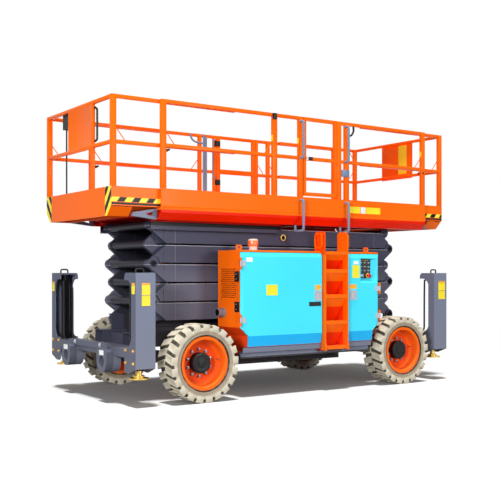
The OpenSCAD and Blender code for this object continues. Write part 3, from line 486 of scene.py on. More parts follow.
zinc = metal("yellow_zinc", rgb(214, 178, 96), 0.34)
chrome = metal("ground_chrome", rgb(206, 208, 212), 0.16, (20, 20, 1))
steel = metal("plain_steel", STEEL, 0.34)
nut_steel = metal("nut_steel", rgb(132, 138, 142), 0.4)
pipe_grey = paint("pipe_grey", rgb(146, 142, 154), rough=0.4, rule=pipe_rule)
iron = paint("dark_cast_iron", rgb(50, 51, 57), rough=0.6, dust=0.3, coat=0.0, peel=0.2)
black_paint = paint("black_paint", rgb(28, 28, 32), rough=0.4, dust=0.2)
handle_grey = paint("handle_grey", rgb(122, 142, 168), rough=0.4, dust=0.0)
black_plastic = plastic("black_plastic", rgb(15, 15, 17))
hose_rubber = plastic("hose_rubber", rgb(28, 28, 30), 0.55, 320.0)
red_plastic = plastic("red_plastic", RED, 0.3)
yellow_film = plastic("yellow_film", rgb(250, 226, 40), 0.4)
amber_film = plastic("amber_film", rgb(250, 176, 40), 0.4)
white_film = plastic("white_film", rgb(240, 240, 238), 0.4)
print("metals", zinc.name, chrome.name, steel.name, "plastics", black_plastic.name, hose_rubber.name)

# %% [markdown]
# ## Beacon lens and ground panel
# The beacon is clear plastic with a ribbed amber band; its ribs are painted paler, as a painted highlight.
# The ground panel is one black solid; its switch caps are pale, and its stop is red on a yellow ring.
# Height tells the band, and the distance from the stop tells the ring.

# %% Lens and panel
LENS_BAND, LENS_CLEAR = (1.69, 1.758), rgb(226, 204, 192)
LENS_AMBER, LENS_RIB_HIGHLIGHT, RIB_PITCH = rgb(255, 96, 20), rgb(255, 176, 120), 0.016
STOP_X, STOP_Z, PANEL_FACE = 0.953, 1.358, 1.0315
STOP_R, STOP_RING_R = 0.0198, 0.033
PANEL_BLACK, CAP_PALE = rgb(20, 20, 23), rgb(196, 198, 200)


def lens_amber():
    f = Finish("amber_lens")
    ribs = ((f.x*0.8 - f.y*0.6) % RIB_PITCH) < RIB_PITCH/4
    # The ribs get a paler colour: a painted highlight on real ribs.
    band = f.mix(ribs*0.5, LENS_AMBER, LENS_RIB_HIGHLIGHT)
    f.set(Base_Color=f.mix(f.z.within(*LENS_BAND), LENS_CLEAR, band),
          Roughness=0.18 + f.noise(30.0)*0.1, Coat_Weight=0.2)
    f.bump(ribs*1.0, 0.2, 0.002)
    return f.material


def panel_black():
    f = Finish("panel_black")
    reach = distance(f.x - STOP_X, f.z - STOP_Z)
    raised = abs(f.y) > PANEL_FACE
    blotch = f.noise(5.0, 4)
    tone = f.mix(raised, PANEL_BLACK, CAP_PALE)
    tone = f.mix(raised*(reach < STOP_RING_R), tone, YELLOW)
    tone = f.mix(raised*(reach < STOP_R), tone, RED)
    f.set(Base_Color=f.shade(tone, 0.85 + blotch*0.3), Roughness=0.4 + (blotch - 0.5)*0.2)
    f.bump(f.noise(190.0, 3), 0.12, 0.0006)
    return f.material


amber, panel = lens_amber(), panel_black()
print("lens", amber.name, "panel", panel.name)

# %% [markdown]
# ## Painting the CAD solids
# A CAD node whose shape is right stays as it is and only gets its finish. Names tell which finish goes where,
# and what has no entry is orange.

# %% Finishes on CAD nodes
FINISH_OF = {"chassis_frame": belly_slate, "outrigger_frames": column_slate, "deck_rollers": slate,
             "front_axle": iron, "rear_axle": iron, "engine_block": iron, "fluid_tank": iron,
             "jack_barrels": black_paint, "lower_barrel": black_paint, "upper_barrel": black_paint,
             "lower_ram": chrome, "upper_ram": chrome, "tie_rod": steel,
             "ground_panel": panel, "ladder": ladder_orange, "control_box": black_plastic,
             "main_deck": deck_orange, "front_deck": striped_orange, "rear_deck": striped_orange}
FINISH_START = {"rim_": rim_orange, "door_": door_blue, "grille_": grille_orange, "cabinet_": cabinet_orange,
                "knuckle_": slate, "arm_": arm_slate, "jack_": zinc}


def finish_for(node):
    if node in FINISH_OF:
        return FINISH_OF[node]
    return next((m for start, m in FINISH_START.items() if node.startswith(start)), orange)


for node, solid in NODES.items():
    solid.data.materials.clear()
    solid.data.materials.append(finish_for(node))
print("painted", len(NODES), "nodes")

# %% [markdown]
# ## Floor
# The paper under the machine is one large sheet. To the camera it is white where lit and grey in the shadow;
# far out it fades to pure white, so that no horizon shows. It throws less light back than it shows,
# because a white floor would fill the dark belly of the machine, and the two side lamps skip it (light linking),
# so that only the sun above draws the shadow.

# %% Floor
FLOOR_SIZE, FLOOR_DROP, FADE_FROM, FADE_TO = 80, 0.001, 4.0, 8.0
PAPER_SEEN, PAPER_BOUNCE, PAPER_LIFT, WHITE = (0.9, 0.9, 0.9), (0.35, 0.35, 0.35), 0.06, (1, 1, 1)
deselect()
bpy.ops.mesh.primitive_plane_add(size=FLOOR_SIZE, location=(0, 0, -FLOOR_DROP))
floor = bpy.context.object
floor.name = "paper_floor"
f = Finish("white_paper")
far = (f.x*f.x + f.y*f.y).step(FADE_FROM**2, FADE_TO**2)
seen = seen_directly(f)
tone = f.mix(seen, PAPER_BOUNCE, PAPER_SEEN)
lit = f.add("ShaderNodeBsdfDiffuse", {}, {"Color": tone, "Roughness": 0.6 + f.noise(3.0)*0.2})
lift = f.add("ShaderNodeEmission", {}, {"Color": WHITE, "Strength": PAPER_LIFT*seen})
paper = f.add("ShaderNodeAddShader", {}, {0: lit, 1: lift})
glow = f.add("ShaderNodeEmission", {}, {"Color": WHITE, "Strength": 1.0})
sheet = f.add("ShaderNodeMixShader", {}, {0: far*seen, 1: paper, 2: glow})
f.feed(f.tree.nodes["Material Output"].inputs["Surface"], sheet)
floor.data.materials.append(f.material)
skip = bpy.data.collections.new("side_lamps_skip")
skip.objects.link(floor)
skip.collection_objects[0].light_linking.link_state = "EXCLUDE"
for lamp in (key, front):
    lamp.light_linking.receiver_collection = skip
print("floor", floor.name)

# %% [markdown]
# ## Tools for modelling by hand
# Every new piece starts as a primitive at its size and place, and is then shaped in edit mode.
# Operators work on whatever is selected, so each helper first deselects all, and faces are picked in code
# by where they are and which way they look. A finished piece keeps its place in its mesh.

# %% Helpers
X, Y, Z = range(3)


def only(o):
    deselect()
    o.select_set(True)
    bpy.context.view_layer.objects.active = o


def named(name):
    o = bpy.context.object
    o.name = o.data.name = name
    bpy.ops.object.transform_apply(location=True, rotation=True, scale=True)
    return o


def block(name, low, high):
    deselect()
    low, high = Vector(low), Vector(high)
    bpy.ops.mesh.primitive_cube_add(size=1, location=(low + high)/2)
    bpy.context.object.scale = high - low
    return named(name)


def bar(name, start, end, radius, sides=24):
    deselect()
    start, end = Vector(start), Vector(end)
    run = end - start
    bpy.ops.mesh.primitive_cylinder_add(vertices=sides, radius=radius, depth=run.length, location=(start + end)/2,
                                        rotation=run.to_track_quat("Z", "Y").to_euler())
    return named(name)


def done():
    bpy.ops.object.mode_set(mode="OBJECT")


def clear_picks(o, kind):
    only(o)
    bpy.ops.object.mode_set(mode="EDIT")
    bpy.ops.mesh.select_mode(type=kind)
    bpy.ops.mesh.select_all(action="DESELECT")
    done()


def pick(o, test):
    clear_picks(o, "FACE")
    for face in o.data.polygons:
        face.select = bool(test(face.center, face.normal))
    bpy.ops.object.mode_set(mode="EDIT")


def facing(axis, out=1):
    return lambda centre, normal: normal[axis]*out > 0.9


def everywhere(centre, normal):
    return True


def along(axis, length):
    return [length if i == axis else 0 for i in range(3)]


def face_steps(o, test, *steps):
    """Inset the picked faces and push what is left, once for each step."""
    pick(o, test)
    for inset, move in steps:
        bpy.ops.mesh.inset(thickness=inset)
        bpy.ops.mesh.extrude_region_move(TRANSFORM_OT_translate={"value": move})
    done()
    return o


def soften(o, width, segments=2):
    only(o)
    bevel = o.modifiers.new("soft_edges", "BEVEL")
    bevel.width, bevel.segments = width, segments
    bevel.limit_method, bevel.angle_limit = "ANGLE", math.radians(35)
    bpy.ops.object.modifier_apply(modifier=bevel.name)
    return o


def join(name, parts):
    deselect()
    for part in parts:
        part.select_set(True)
    bpy.context.view_layer.objects.active = parts[0]
    bpy.ops.object.join()
    parts[0].name = parts[0].data.name = name
    return parts[0]


def twin(o, name, turn):
    copy = o.copy()
    copy.data = o.data.copy()
    copy.name = copy.data.name = name
    scene.collection.objects.link(copy)
    copy.data.transform(turn)
    if turn.determinant() < 0:
        copy.data.flip_normals()
    return copy


def spread(name, model, turns):
    """Copies of one model at several places, joined into one mesh; the model itself goes."""
    copies = [twin(model, f"{name}_{i}", turn) for i, turn in enumerate(turns)]
    bpy.data.objects.remove(model)
    return join(name, copies)


def settle(o, body, finish, smooth=35):
    only(o)
    bpy.ops.object.shade_smooth_by_angle(angle=math.radians(smooth))
    o.data.materials.clear()
    o.data.materials.append(finish)
    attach(o, body)
    return o


def shift(x, y, z):
    return Matrix.Translation((x, y, z))


def turn(angle, axis):
    return Matrix.Rotation(math.radians(angle), 4, axis)


MIRROR_Y = Matrix.Diagonal((1, -1, 1, 1))
SIDES, ENDS = (("near", -1), ("far", 1)), (("front", -1), ("rear", 1))
print("helpers ready")

# %% [markdown]
# ## Tyres
# A rough-terrain tyre has a round carcass and chunky lugs that run in from both shoulders and bend down onto
# the sidewall. The carcass is a tube whose open edges are extruded ring by ring towards the rim, the way
# one would draw the section by hand. One lug is cut from a slanted block with two bisects, gets a shallow dish
# in its face, is softened, and turned round the axle; the two sides are half a pitch apart.

# %% Tyre carcass
TREAD, OVER, HALF_W, ROUND = 0.392, 0.42, 0.1525, 88
# Each ring: its radius and its distance from the wheel's middle, from the tread's edge in to the bead.
SECTION = [(TREAD, 0.116), (0.390, 0.130), (0.384, 0.142), (0.374, 0.1485), (0.360, 0.1498), (0.336, 0.1495),
           (0.332, 0.1465), (0.322, 0.1465), (0.318, 0.1495), (0.306, 0.1475), (0.297, 0.139), (0.2912, 0.1262)]


def pick_open_ring(o, side):
    clear_picks(o, "EDGE")
    verts = o.data.vertices
    far = max(side*v.co.y for v in verts) - 1e-4
    for edge in o.data.edges:
        edge.select = all(side*verts[i].co.y > far for i in edge.vertices)
    bpy.ops.object.mode_set(mode="EDIT")
    bpy.ops.mesh.select_mode(type="EDGE")


def carcass():
    deselect()
    bpy.ops.mesh.primitive_cylinder_add(vertices=ROUND, radius=TREAD, depth=2*SECTION[0][1], end_fill_type="NOTHING",
                                        rotation=(math.radians(90), 0, 0))
    o = named("tyre_carcass")
    for side in (-1, 1):
        pick_open_ring(o, side)
        for (radius, place), (wanted, out) in zip(SECTION, SECTION[1:]):
            bpy.ops.mesh.extrude_edges_move(TRANSFORM_OT_translate={"value": (0, side*(out - place), 0)})
            grow = wanted/radius
            bpy.ops.transform.resize(value=(grow, 1, grow), center_override=(0, side*out, 0))
        done()
    pick(o, everywhere)
    bpy.ops.mesh.normals_make_consistent(inside=False)
    done()
    return o


print("tyre section", len(SECTION), "rings a side")

# %% Tyre lugs
LUGS, LUG_SLANT, LUG_HALF, LUG_REACH, LUG_MIDDLE = 21, 14, 0.039, 0.10, 0.08
LUG_ROOT, LUG_FACE, LUG_START = TREAD - 0.046, OVER - 0.0015, 0.007
DISH_RIM, DISH_DEPTH = 0.011, 0.0025


def lug():
    o = block("tyre_lug", (LUG_ROOT, -LUG_REACH, -LUG_HALF), (LUG_FACE, LUG_REACH, LUG_HALF))
    o.rotation_euler = (math.radians(LUG_SLANT), 0, 0)
    o.location = (0, LUG_MIDDLE, 0)
    only(o)
    bpy.ops.object.transform_apply(location=True, rotation=True, scale=True)
    for at, away in ((LUG_START, -1), (HALF_W, 1)):
        pick(o, everywhere)
        bpy.ops.mesh.bisect(plane_co=(0, at, 0), plane_no=(0, away, 0), clear_outer=True, use_fill=True)
        done()
    return soften(face_steps(o, facing(X), (DISH_RIM, along(X, -DISH_DEPTH))), 0.005)


tyre = carcass()
outer_lug = lug()
inner_lug = twin(outer_lug, "tyre_lug_back", MIRROR_Y)
pitch = 360/LUGS
outer_row = spread("lugs_out", outer_lug, [turn(i*pitch, "Y") for i in range(LUGS)])
inner_row = spread("lugs_in", inner_lug, [turn((i + 0.5)*pitch, "Y") for i in range(LUGS)])
tyre = join("tyre_model", [tyre, outer_row, inner_row])
print("tyre faces", len(tyre.data.polygons))

# %% [markdown]
# ## Hub cap, nuts and valve
# Deep in the dish sit a black hub cap and a ring of nuts. The cap is a cylinder with three insets; a nut is
# a six-sided cylinder with a stud pushed out of it, because bevelled corners catch the light.

# %% Wheel pieces
HUB_R, HUB_FACE, DISC_FACE = 0.1125, 0.069, -0.004
NUT_R, NUT_RING, NUTS, NUT_PITCH = 0.0175, 0.146, 10, 36


def hub_cap():
    o = bar("hub_model", (0, DISC_FACE, 0), (0, HUB_FACE, 0), HUB_R, 40)
    face_steps(o, facing(Y), (0.014, along(Y, 0.006)), (0.022, along(Y, -0.004)), (0.03, along(Y, 0.008)))
    return soften(o, 0.003)


def wheel_nut():
    o = bar("nut_model", (NUT_RING, DISC_FACE - 0.001, 0), (NUT_RING, DISC_FACE + 0.024, 0), NUT_R, 6)
    return soften(face_steps(o, facing(Y), (0.006, along(Y, 0.010))), 0.0018)


hub = hub_cap()
nuts = spread("nuts_model", wheel_nut(), [turn((i + 0.5)*NUT_PITCH, "Y") for i in range(NUTS)])
valve = soften(bar("valve_model", (0.224, 0.012, 0.03), (0.214, 0.055, 0.03), 0.006, 12), 0.0015)
nuts = join("nuts_model", [nuts, valve])
for end, sx in ENDS:
    for side, sy in SIDES:
        seat = shift(sx*WHEEL_X, sy*WHEEL_Y, WHEEL_Z) @ (MIRROR_Y if sy < 0 else Matrix.Identity(4))
        body = f"wheel_{end}_{side}"
        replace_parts(settle(twin(tyre, f"tyre_rubber_{end}_{side}", seat), body, rubber), f"tyre_{end}_{side}")
        settle(twin(hub, f"hub_cap_{end}_{side}", seat), body, black_plastic)
        settle(twin(nuts, f"wheel_nuts_{end}_{side}", seat), body, nut_steel)
for model in (tyre, hub, nuts):
    bpy.data.objects.remove(model)

# %% [markdown]
# ## Blank plates
# Plates of thin film sit on doors, columns and rails, and all of them are blank. Each is
# a thin block with its face inset and pushed back a hair, which leaves the raised rim that catches light.

# %% Plates
PLATE_T, PLATE_SUNK, PLATE_RIM, PLATE_DISH = 0.0022, 0.0005, 0.005, 0.0007
DOOR_Y, COLUMN_Y, COLUMN_X, TIE_LUG_X, BAND_Y = -1.085, -1.1, -2.28, -2.366, -0.92
FILM = {"white": white_film, "yellow": yellow_film, "amber": amber_film, "black": black_plastic}


def plate(name, body, film, low, high, axis):
    """A blank plate on a face that looks towards -X or -Y: low and high are its corners in that face's plane."""
    low, high = list(low), list(high)
    face = low[axis]
    low[axis], high[axis] = face - PLATE_T, face + PLATE_SUNK
    o = block(name, low, high)
    face_steps(o, facing(axis, -1), (PLATE_RIM, along(axis, PLATE_DISH)))
    return settle(soften(o, 0.0006, 1), body, FILM[film])


# Each plate: its door and film, then x and z of two corners.
DOOR_PLATES = [("front", "white", -0.897, 1.513, -0.816, 1.562), ("front", "yellow", -0.624, 1.135, -0.469, 1.255),
               ("front", "amber", 0.078, 1.19, 0.165, 1.25), ("front", "black", -0.012, 1.001, 0.165, 1.052),
               ("rear", "amber", 0.612, 1.197, 0.724, 1.252), ("rear", "yellow", 0.66, 1.33, 0.765, 1.485),
               ("rear", "white", 0.676, 1.497, 0.757, 1.535)]
for i, (door, film, x0, z0, x1, z1) in enumerate(DOOR_PLATES):
    plate(f"door_plate_{i}", f"door_near_{door}", film, (x0, DOOR_Y, z0), (x1, DOOR_Y, z1), Y)
COLUMN_PLATES = [("low", "yellow", 1.05, 1.156), ("high", "yellow", 1.162, 1.262), ("head", "amber", 1.264, 1.284)]
for end, x0, x1 in (("front", -2.208, -2.112), ("rear", 2.128, 2.25)):
    for part, film, z0, z1 in COLUMN_PLATES:
        plate(f"column_plate_{end}_{part}", "chassis", film, (x0, COLUMN_Y, z0), (x1, COLUMN_Y, z1), Y)
for side, sy in SIDES:
    y0, y1 = sorted((sy*1.018, sy*1.084))
    plate(f"column_tag_{side}", "chassis", "yellow", (COLUMN_X, y0, 1.17), (COLUMN_X, y1, 1.262), X)
    plate(f"column_tag_head_{side}", "chassis", "amber", (COLUMN_X, y0, 1.264), (COLUMN_X, y1, 1.285), X)
    y0, y1 = sorted((sy*0.425, sy*0.53))
    plate(f"lug_plate_{side}", "chassis", "white", (TIE_LUG_X, y0, 0.51), (TIE_LUG_X, y1, 0.562), X)
for i, (film, x0, x1) in enumerate((("yellow", 0.749, 0.93), ("white", 0.94, 1.02), ("yellow", 1.03, 1.266))):
    plate(f"band_plate_{i}", "platform", film, (x0, BAND_Y, 2.128), (x1, BAND_Y, 2.208), Y)
plate("rear_panel_plate", "rear_extension", "yellow", (2.428, -0.22, 2.79), (2.428, -0.058, 3.19), X)
for i, x in enumerate((-0.41, -0.03, 2.007)):
    plate(f"post_tag_{i}", "platform", "yellow", (x, -0.914, 2.918), (x, -0.884, 2.985), X)

# %% [markdown]
# ## Behind the grille
# The cabinet's front end breathes through a perforated cover. Its holes are in the CAD solid already; behind them
# stands a dark board, a sheet that stands in for the shade inside the cabinet, and beside the cover are two small
# hinges with a screw at each end.

# %% Grille board and hinges
HINGE_BACK, HINGE_FACE, HINGE_TALL = -0.9752, -0.9885, 0.114
SCREW_FROM, SCREW_TO, SCREW_Y = -0.9920, -0.9950, 1.02
BOARD_FACE, BOARD_BACK, BOARD_LOW, BOARD_HIGH = -0.9628, -0.9598, 1.088, 1.457


def hinge_block(sy, z):
    y0, y1 = sorted((sy*0.98, sy*1.059))
    o = block("hinge", (HINGE_FACE, y0, z), (HINGE_BACK, y1, z + HINGE_TALL))
    return soften(face_steps(o, facing(X, -1), (0.012, along(X, -0.004))), 0.003)


def hinge_screw(sy, z):
    y = sy*SCREW_Y
    return soften(bar("screw", (SCREW_FROM, y, z), (SCREW_TO, y, z), 0.009, 16), 0.001)


for side, sy in SIDES:
    y0, y1 = sorted((sy*0.68, sy*1.01))
    # A dark board behind the holes stands in for the shade inside the cabinet.
    board = block(f"grille_shade_board_{side}", (BOARD_FACE, y0, BOARD_LOW), (BOARD_BACK, y1, BOARD_HIGH))
    face_steps(board, facing(X, -1), (0.006, along(X, -0.0008)))
    settle(board, "chassis", hose_rubber)
    hinges = [hinge_block(sy, z) for z in (0.955, 1.292)]
    settle(join(f"end_hinges_{side}", hinges), "chassis", black_paint)
    screws = [hinge_screw(sy, z) for z in (0.983, 1.041, 1.32, 1.378)]
    settle(join(f"end_hinge_screws_{side}", screws), "chassis", steel)

# %% [markdown]
# ## Beacon and exhaust
# Both are turned pieces: a cylinder whose end face is inset and pushed, again and again, like steps on a lathe.
# The beacon is a clear lens with an amber band, flat on top; the exhaust is a short open pipe on a flange.

# %% Turned pieces
UP, AHEAD = Vector((0, 0, 1)), Vector((-1, 0, 0))
BEACON_X, BEACON_Y, PIPE_X = -0.68, -0.9, -0.9745
NO_INSET = 0.0002


def turned(name, start, steps, axis, sides=32):
    """steps: radius and distance along the axis for each ring, beginning with the first ring's own size."""
    start = Vector(start)
    radius, reach = steps[0]
    o = bar(name, start, start + axis*reach, radius, sides)
    for new_radius, length in steps[1:]:
        end = start + axis*reach
        face_steps(o, lambda c, n: n.dot(axis) > 0.9 and (c - end).length < 1e-3,
                   (max(radius - new_radius, NO_INSET), axis*length))
        radius, reach = new_radius, reach + length
    return o


foot = turned("beacon_foot", (BEACON_X, BEACON_Y, 1.645), [(0.053, 0.014), (0.047, 0.038)], UP)
lens = turned("beacon_lens", (BEACON_X, BEACON_Y, 1.69), [(0.059, 0.068), (0.056, 0.012), (0.05, 0.006)], UP)
lens = join("beacon_lens", [soften(lens, 0.003), soften(foot, 0.002)])
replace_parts(settle(lens, "chassis", amber), "beacon")
pipe = turned("exhaust_pipe", (PIPE_X, PIPE_Y, PIPE_Z), [(0.056, 0.012), (0.047, 0.074), (0.04, -0.07)], AHEAD)
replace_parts(settle(soften(pipe, 0.0015, 1), "chassis", pipe_grey), "exhaust")

# %% [markdown]
# ## Bent tubes
# Hoses, handle loops and thin braces are all a round section swept along a path. A path with rounded corners is
# worked out first; the sweep itself is a curve with a round bevel, made a mesh so that it can be joined.

# %% Tube tool
def rounded(points, radius, steps=5):
    points = [Vector(p) for p in points]
    path = [points[0]]
    for before, corner, after in zip(points, points[1:], points[2:]):
        a, b = (before - corner), (after - corner)
        cut = min(radius, a.length*0.45, b.length*0.45)
        a, b = corner + a.normalized()*cut, corner + b.normalized()*cut
        for i in range(steps + 1):
            t = i/steps
            path.append(a*(1 - t)**2 + corner*(2*t*(1 - t)) + b*t*t)
    return path + [points[-1]]


def tube(name, points, radius, bend=0.03, sides=3):
    data = bpy.data.curves.new(name, "CURVE")
    data.dimensions = "3D"
    data.bevel_depth = radius
    data.bevel_resolution = sides
    data.use_fill_caps = True
    path = rounded(points, bend)
    spline = data.splines.new("POLY")
    spline.points.add(len(path) - 1)
    for point, place in zip(spline.points, path):
        point.co = (*place, 1)
    o = bpy.data.objects.new(name, data)
    scene.collection.objects.link(o)
    only(o)
    bpy.ops.object.convert(target="MESH")
    return bpy.context.object


print("tube tool ready")

# %% [markdown]
# ## Hoses and bolts on the outriggers
# Each jack is fed by two hoses that come up from the end beam and turn into the top of its barrel.
# Zinc bolts hold the columns' plates; a bolt is a six-sided head on a washer, modelled once and copied.

# %% Outrigger pieces
COL_X, JACK_Y, HOSE_R, TOP_HOSE_R = 2.165, 0.955, 0.0115, 0.009
HOSE_TOP, HOSE_STEP, HOSE_APART = 1.3, 0.08, 0.055
WASHER_T, LINK_X, LINK_Y, LINK_Z = 0.003, -2.31, 0.33, 0.605
FACE_OUT = {"-x": turn(-90, "Y"), "+x": turn(90, "Y"), "-y": turn(90, "X"), "+y": turn(-90, "X"),
            "+z": Matrix.Identity(4)}


def hex_bolt(name="bolt_model", head=0.014, tall=0.011):
    washer = soften(bar("washer", (0, 0, 0), (0, 0, WASHER_T), head*1.35, 20), 0.0008, 1)
    o = bar("head", (0, 0, 0.002), (0, 0, WASHER_T + tall), head, 6)
    face_steps(o, facing(Z), (head*0.22, along(Z, 0.0015)))
    return join(name, [soften(o, 0.001, 1), washer])


def jack_hose(x, dx, sy, top):
    path = [(x + dx*0.4, JACK_Y - 0.045, top), (x + dx, 0.872, top), (x + dx, 0.868, 1.1), (x + dx, 0.866, 0.66),
            (x + dx, 0.838, 0.6), (x + dx, 0.8, 0.598)]
    return tube("hose", [(px, sy*py, pz) for px, py, pz in path], HOSE_R, 0.06)


def top_hose(x, y):
    path = [(x - 0.05, y, 1.385), (x - 0.05, y, 1.432), (x + 0.04, y, 1.432), (x + 0.04, y, 1.385)]
    return tube("hose_top", path, TOP_HOSE_R, 0.04)


for end, sx in ENDS:
    for side, sy in SIDES:
        hoses = [jack_hose(sx*COL_X, dx, sy, HOSE_TOP - HOSE_STEP*i) for i, dx in enumerate((-HOSE_APART, HOSE_APART))]
        hoses.append(top_hose(sx*COL_X, sy*0.98))
        settle(join(f"jack_hoses_{end}_{side}", hoses), "chassis", hose_rubber)
        face = FACE_OUT["-x" if sx < 0 else "+x"]
        spots = [(-sx*COLUMN_X, sy*y, z) for y in (0.882, 1.052) for z in (0.455, 0.585)]
        bolts = spread(f"column_bolts_{end}_{side}", hex_bolt(), [shift(*spot) @ face for spot in spots])
        settle(bolts, "chassis", zinc)
link_bolts = spread("link_bolts", hex_bolt("link_model", 0.019, 0.012),
                    [shift(LINK_X, y, LINK_Z) @ FACE_OUT["-x"] for y in (-LINK_Y, LINK_Y)])
settle(link_bolts, "chassis", steel)

# %% [markdown]
# ## Pins of the scissor
# Each pin ends in a round keeper with a bolt, and each crossing of two arms has a zinc ring with a black plug.
# They ride on the arm that holds the pin, so they swing with it as the stack opens.

# %% Pin keepers
PIN_X, PIN_Z, ARM_OUT, LEVELS = 1.78, 0.85, 0.55, 5
KEEPER_R, KEEPER_T, KEEPER_OUT, CENTRE_OUT = 0.034, 0.012, ARM_OUT + 0.0075, ARM_OUT + 0.0098


def dished(name, radius, tall, rim, depth):
    o = bar(name, (0, 0, 0), (0, 0, tall), radius, 28)
    return face_steps(o, facing(Z), (radius*rim, along(Z, -depth)))


def keeper():
    cup = soften(dished("keeper_model", KEEPER_R, KEEPER_T, 0.35, KEEPER_T*0.35), 0.002)
    bolt = hex_bolt("keeper_bolt", 0.011, 0.009)
    bolt.data.transform(shift(0, 0, KEEPER_T*0.6))
    return join("keeper_model", [cup, bolt])


def side_pair(x, z, out):
    return [shift(x, out, z) @ FACE_OUT["+y"], shift(x, -out, z) @ FACE_OUT["-y"]]


for k in range(1, LEVELS + 1):
    arm = f"arm_{k}_outer"
    if k < LEVELS:
        pins = side_pair(-PIN_X if k % 2 else PIN_X, PIN_Z + k*ARM_LEVEL, KEEPER_OUT)
        settle(spread(f"pin_keepers_{k}", keeper(), pins), arm, black_paint)
    middle = side_pair(0, PIN_Z + (k - 0.5)*ARM_LEVEL, CENTRE_OUT)
    ring = soften(dished("ring_model", 0.039, 0.012, 0.3, 0.0096), 0.001, 1)
    settle(spread(f"centre_rings_{k}", ring, middle), arm, zinc)
    plug = soften(dished("plug_model", 0.0265, 0.006, 0.3, 0.0008), 0.001, 1)
    settle(spread(f"centre_caps_{k}", plug, middle), arm, black_paint)
feet = spread("foot_pin_keepers", keeper(), side_pair(PIN_X, PIN_Z, KEEPER_OUT))
settle(feet, "chassis", black_paint)

# %% [markdown]
# ## Guard rails
# The rails are square steel tube. CAD has them with sharp corners and sturdy end posts; here each tube gets rounded
# edges and the width that the real one shows. A post stands a hair proud of the rails that it carries:
# faces that lie exactly in each other's plane would flicker.

# %% Deck rail tubes
TOP, MID, RAIL_T, TOE, POST = 3.24, 2.73, 0.04, 2.288, 0.063
DECK_Y, EXT_Y, HAIR = 0.898, 0.848, 0.001
DECK_FRONT, DECK_REAR, GATE_FRONT, GATE_REAR = -1.88, 2.07, 0.033, 0.565
HINGE_X, HINGE_Y, HINGE_HALF, KNUCKLE_T = 0.043, -0.868, 0.042, 0.02
LEAF_X, LEAF_OUT, LEAF_IN = 0.005, -0.88, -0.872


def rail_tube(low, high):
    return soften(block("tube", low, high), 0.005)


def side_rails(y, runs, posts):
    y0, y1 = y - RAIL_T/2, y + RAIL_T/2
    tubes = [rail_tube((x0, y0, z), (x1, y1, z + RAIL_T)) for x0, x1 in runs for z in (TOP - RAIL_T, MID)]
    return tubes + [rail_tube((x0 - HAIR, y0 - HAIR, TOE), (x1 + HAIR, y1 + HAIR, TOP - HAIR)) for x0, x1 in posts]


def gate_hinge(z):
    pieces = []
    for low in (z - HINGE_HALF, z + HINGE_HALF - KNUCKLE_T):
        knuckle = bar("knuckle", (HINGE_X, HINGE_Y, low), (HINGE_X, HINGE_Y, low + KNUCKLE_T), 0.009)
        leaf = block("leaf", (LEAF_X, LEAF_OUT, low), (HINGE_X, LEAF_IN, low + KNUCKLE_T))
        pieces += [soften(knuckle, 0.002), soften(leaf, 0.001)]
    pin = bar("hinge_pin", (HINGE_X, HINGE_Y, z - HINGE_HALF), (HINGE_X, HINGE_Y, z + HINGE_HALF), 0.004)
    return pieces + [soften(pin, 0.001)]


near_posts = [(x, x + POST) for x in (DECK_FRONT, -0.41, -0.03, GATE_REAR, 0.69, 2.007)]
far_posts = [(DECK_FRONT, -1.817), (-0.315, -0.268), (-0.08, -0.032), (-0.025, 0.026), (0.555, 0.601),
             (0.608, 0.652), (0.805, 0.855), (2.007, DECK_REAR)]
tubes = side_rails(-DECK_Y, [(DECK_FRONT, GATE_FRONT), (GATE_REAR, DECK_REAR)], near_posts)
tubes += side_rails(DECK_Y, [(DECK_FRONT, DECK_REAR)], far_posts)
tubes.append(rail_tube((-0.02, DECK_Y - 0.0195, MID + 0.022), (0.6, DECK_Y + 0.0195, MID + 0.062)))
tubes += gate_hinge(2.4) + gate_hinge(3.1)
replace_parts(settle(join("deck_rail_tubes", tubes), "platform", orange), "main_rails")

# %% Extension rail tubes
END_X, CORNER_X, END_POST = 2.44, 2.38, 0.045
END_RAIL_OUT, END_RAIL_IN, SHEET_OUT, SHEET_IN = 2.4385, 2.4, 2.437, 2.429


def end_rails(name, body, node, sx, inner, panel, posts):
    """Rails of an extension deck: two sides, the end, and the sheet panel that closes the middle of the end."""
    side = [sorted((sx*END_X, sx*inner))]
    corner = [sorted((sx*END_X, sx*CORNER_X))]
    tubes = side_rails(-EXT_Y, side, corner) + side_rails(EXT_Y, side, corner)
    x0, x1 = sorted((sx*END_RAIL_OUT, sx*END_RAIL_IN))
    tubes += [rail_tube((x0, -EXT_Y, z + HAIR), (x1, EXT_Y, z + RAIL_T - HAIR)) for z in (TOP - RAIL_T, MID)]
    tubes += [rail_tube((x0 + HAIR, y, TOE), (x1 - HAIR, y + END_POST, TOP - 0.01)) for y in posts]
    x0, x1 = sorted((sx*SHEET_OUT, sx*SHEET_IN))
    sheet = block("sheet", (x0, panel[0], MID - 0.01), (x1, panel[1], TOP - 0.012))
    face_steps(sheet, lambda c, n: abs(n.x) > 0.9, (0.018, along(X, -sx*0.0015)))
    tubes.append(soften(sheet, 0.002))
    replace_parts(settle(join(name, tubes), body, orange), node)


end_rails("front_rail_tubes", "front_extension", "front_rails", -1, 0.9, (-0.402, 0.24), [-0.4])
end_rails("rear_rail_tubes", "rear_extension", "rear_rails", 1, 1.0, (-0.326, 0.28), [])

# %% [markdown]
# ## Guard rail fittings
# Thin rods brace posts and middle rails and take a lanyard hook. Black spring knobs lock the extension decks,
# a latch box closes the gate, and a black grip stands beside the front panel.

# %% Rail fittings
ROD_R, ROD_BEND = 0.0055, 0.01


def brace(x, y, way):
    z = MID + RAIL_T
    path = [(0, 0.13), (0.012, 0.118), (0.095, 0.012), (0.105, -0.002)]
    return tube("brace", [(x + way*out, y, z + up) for out, up in path], ROD_R, ROD_BEND)


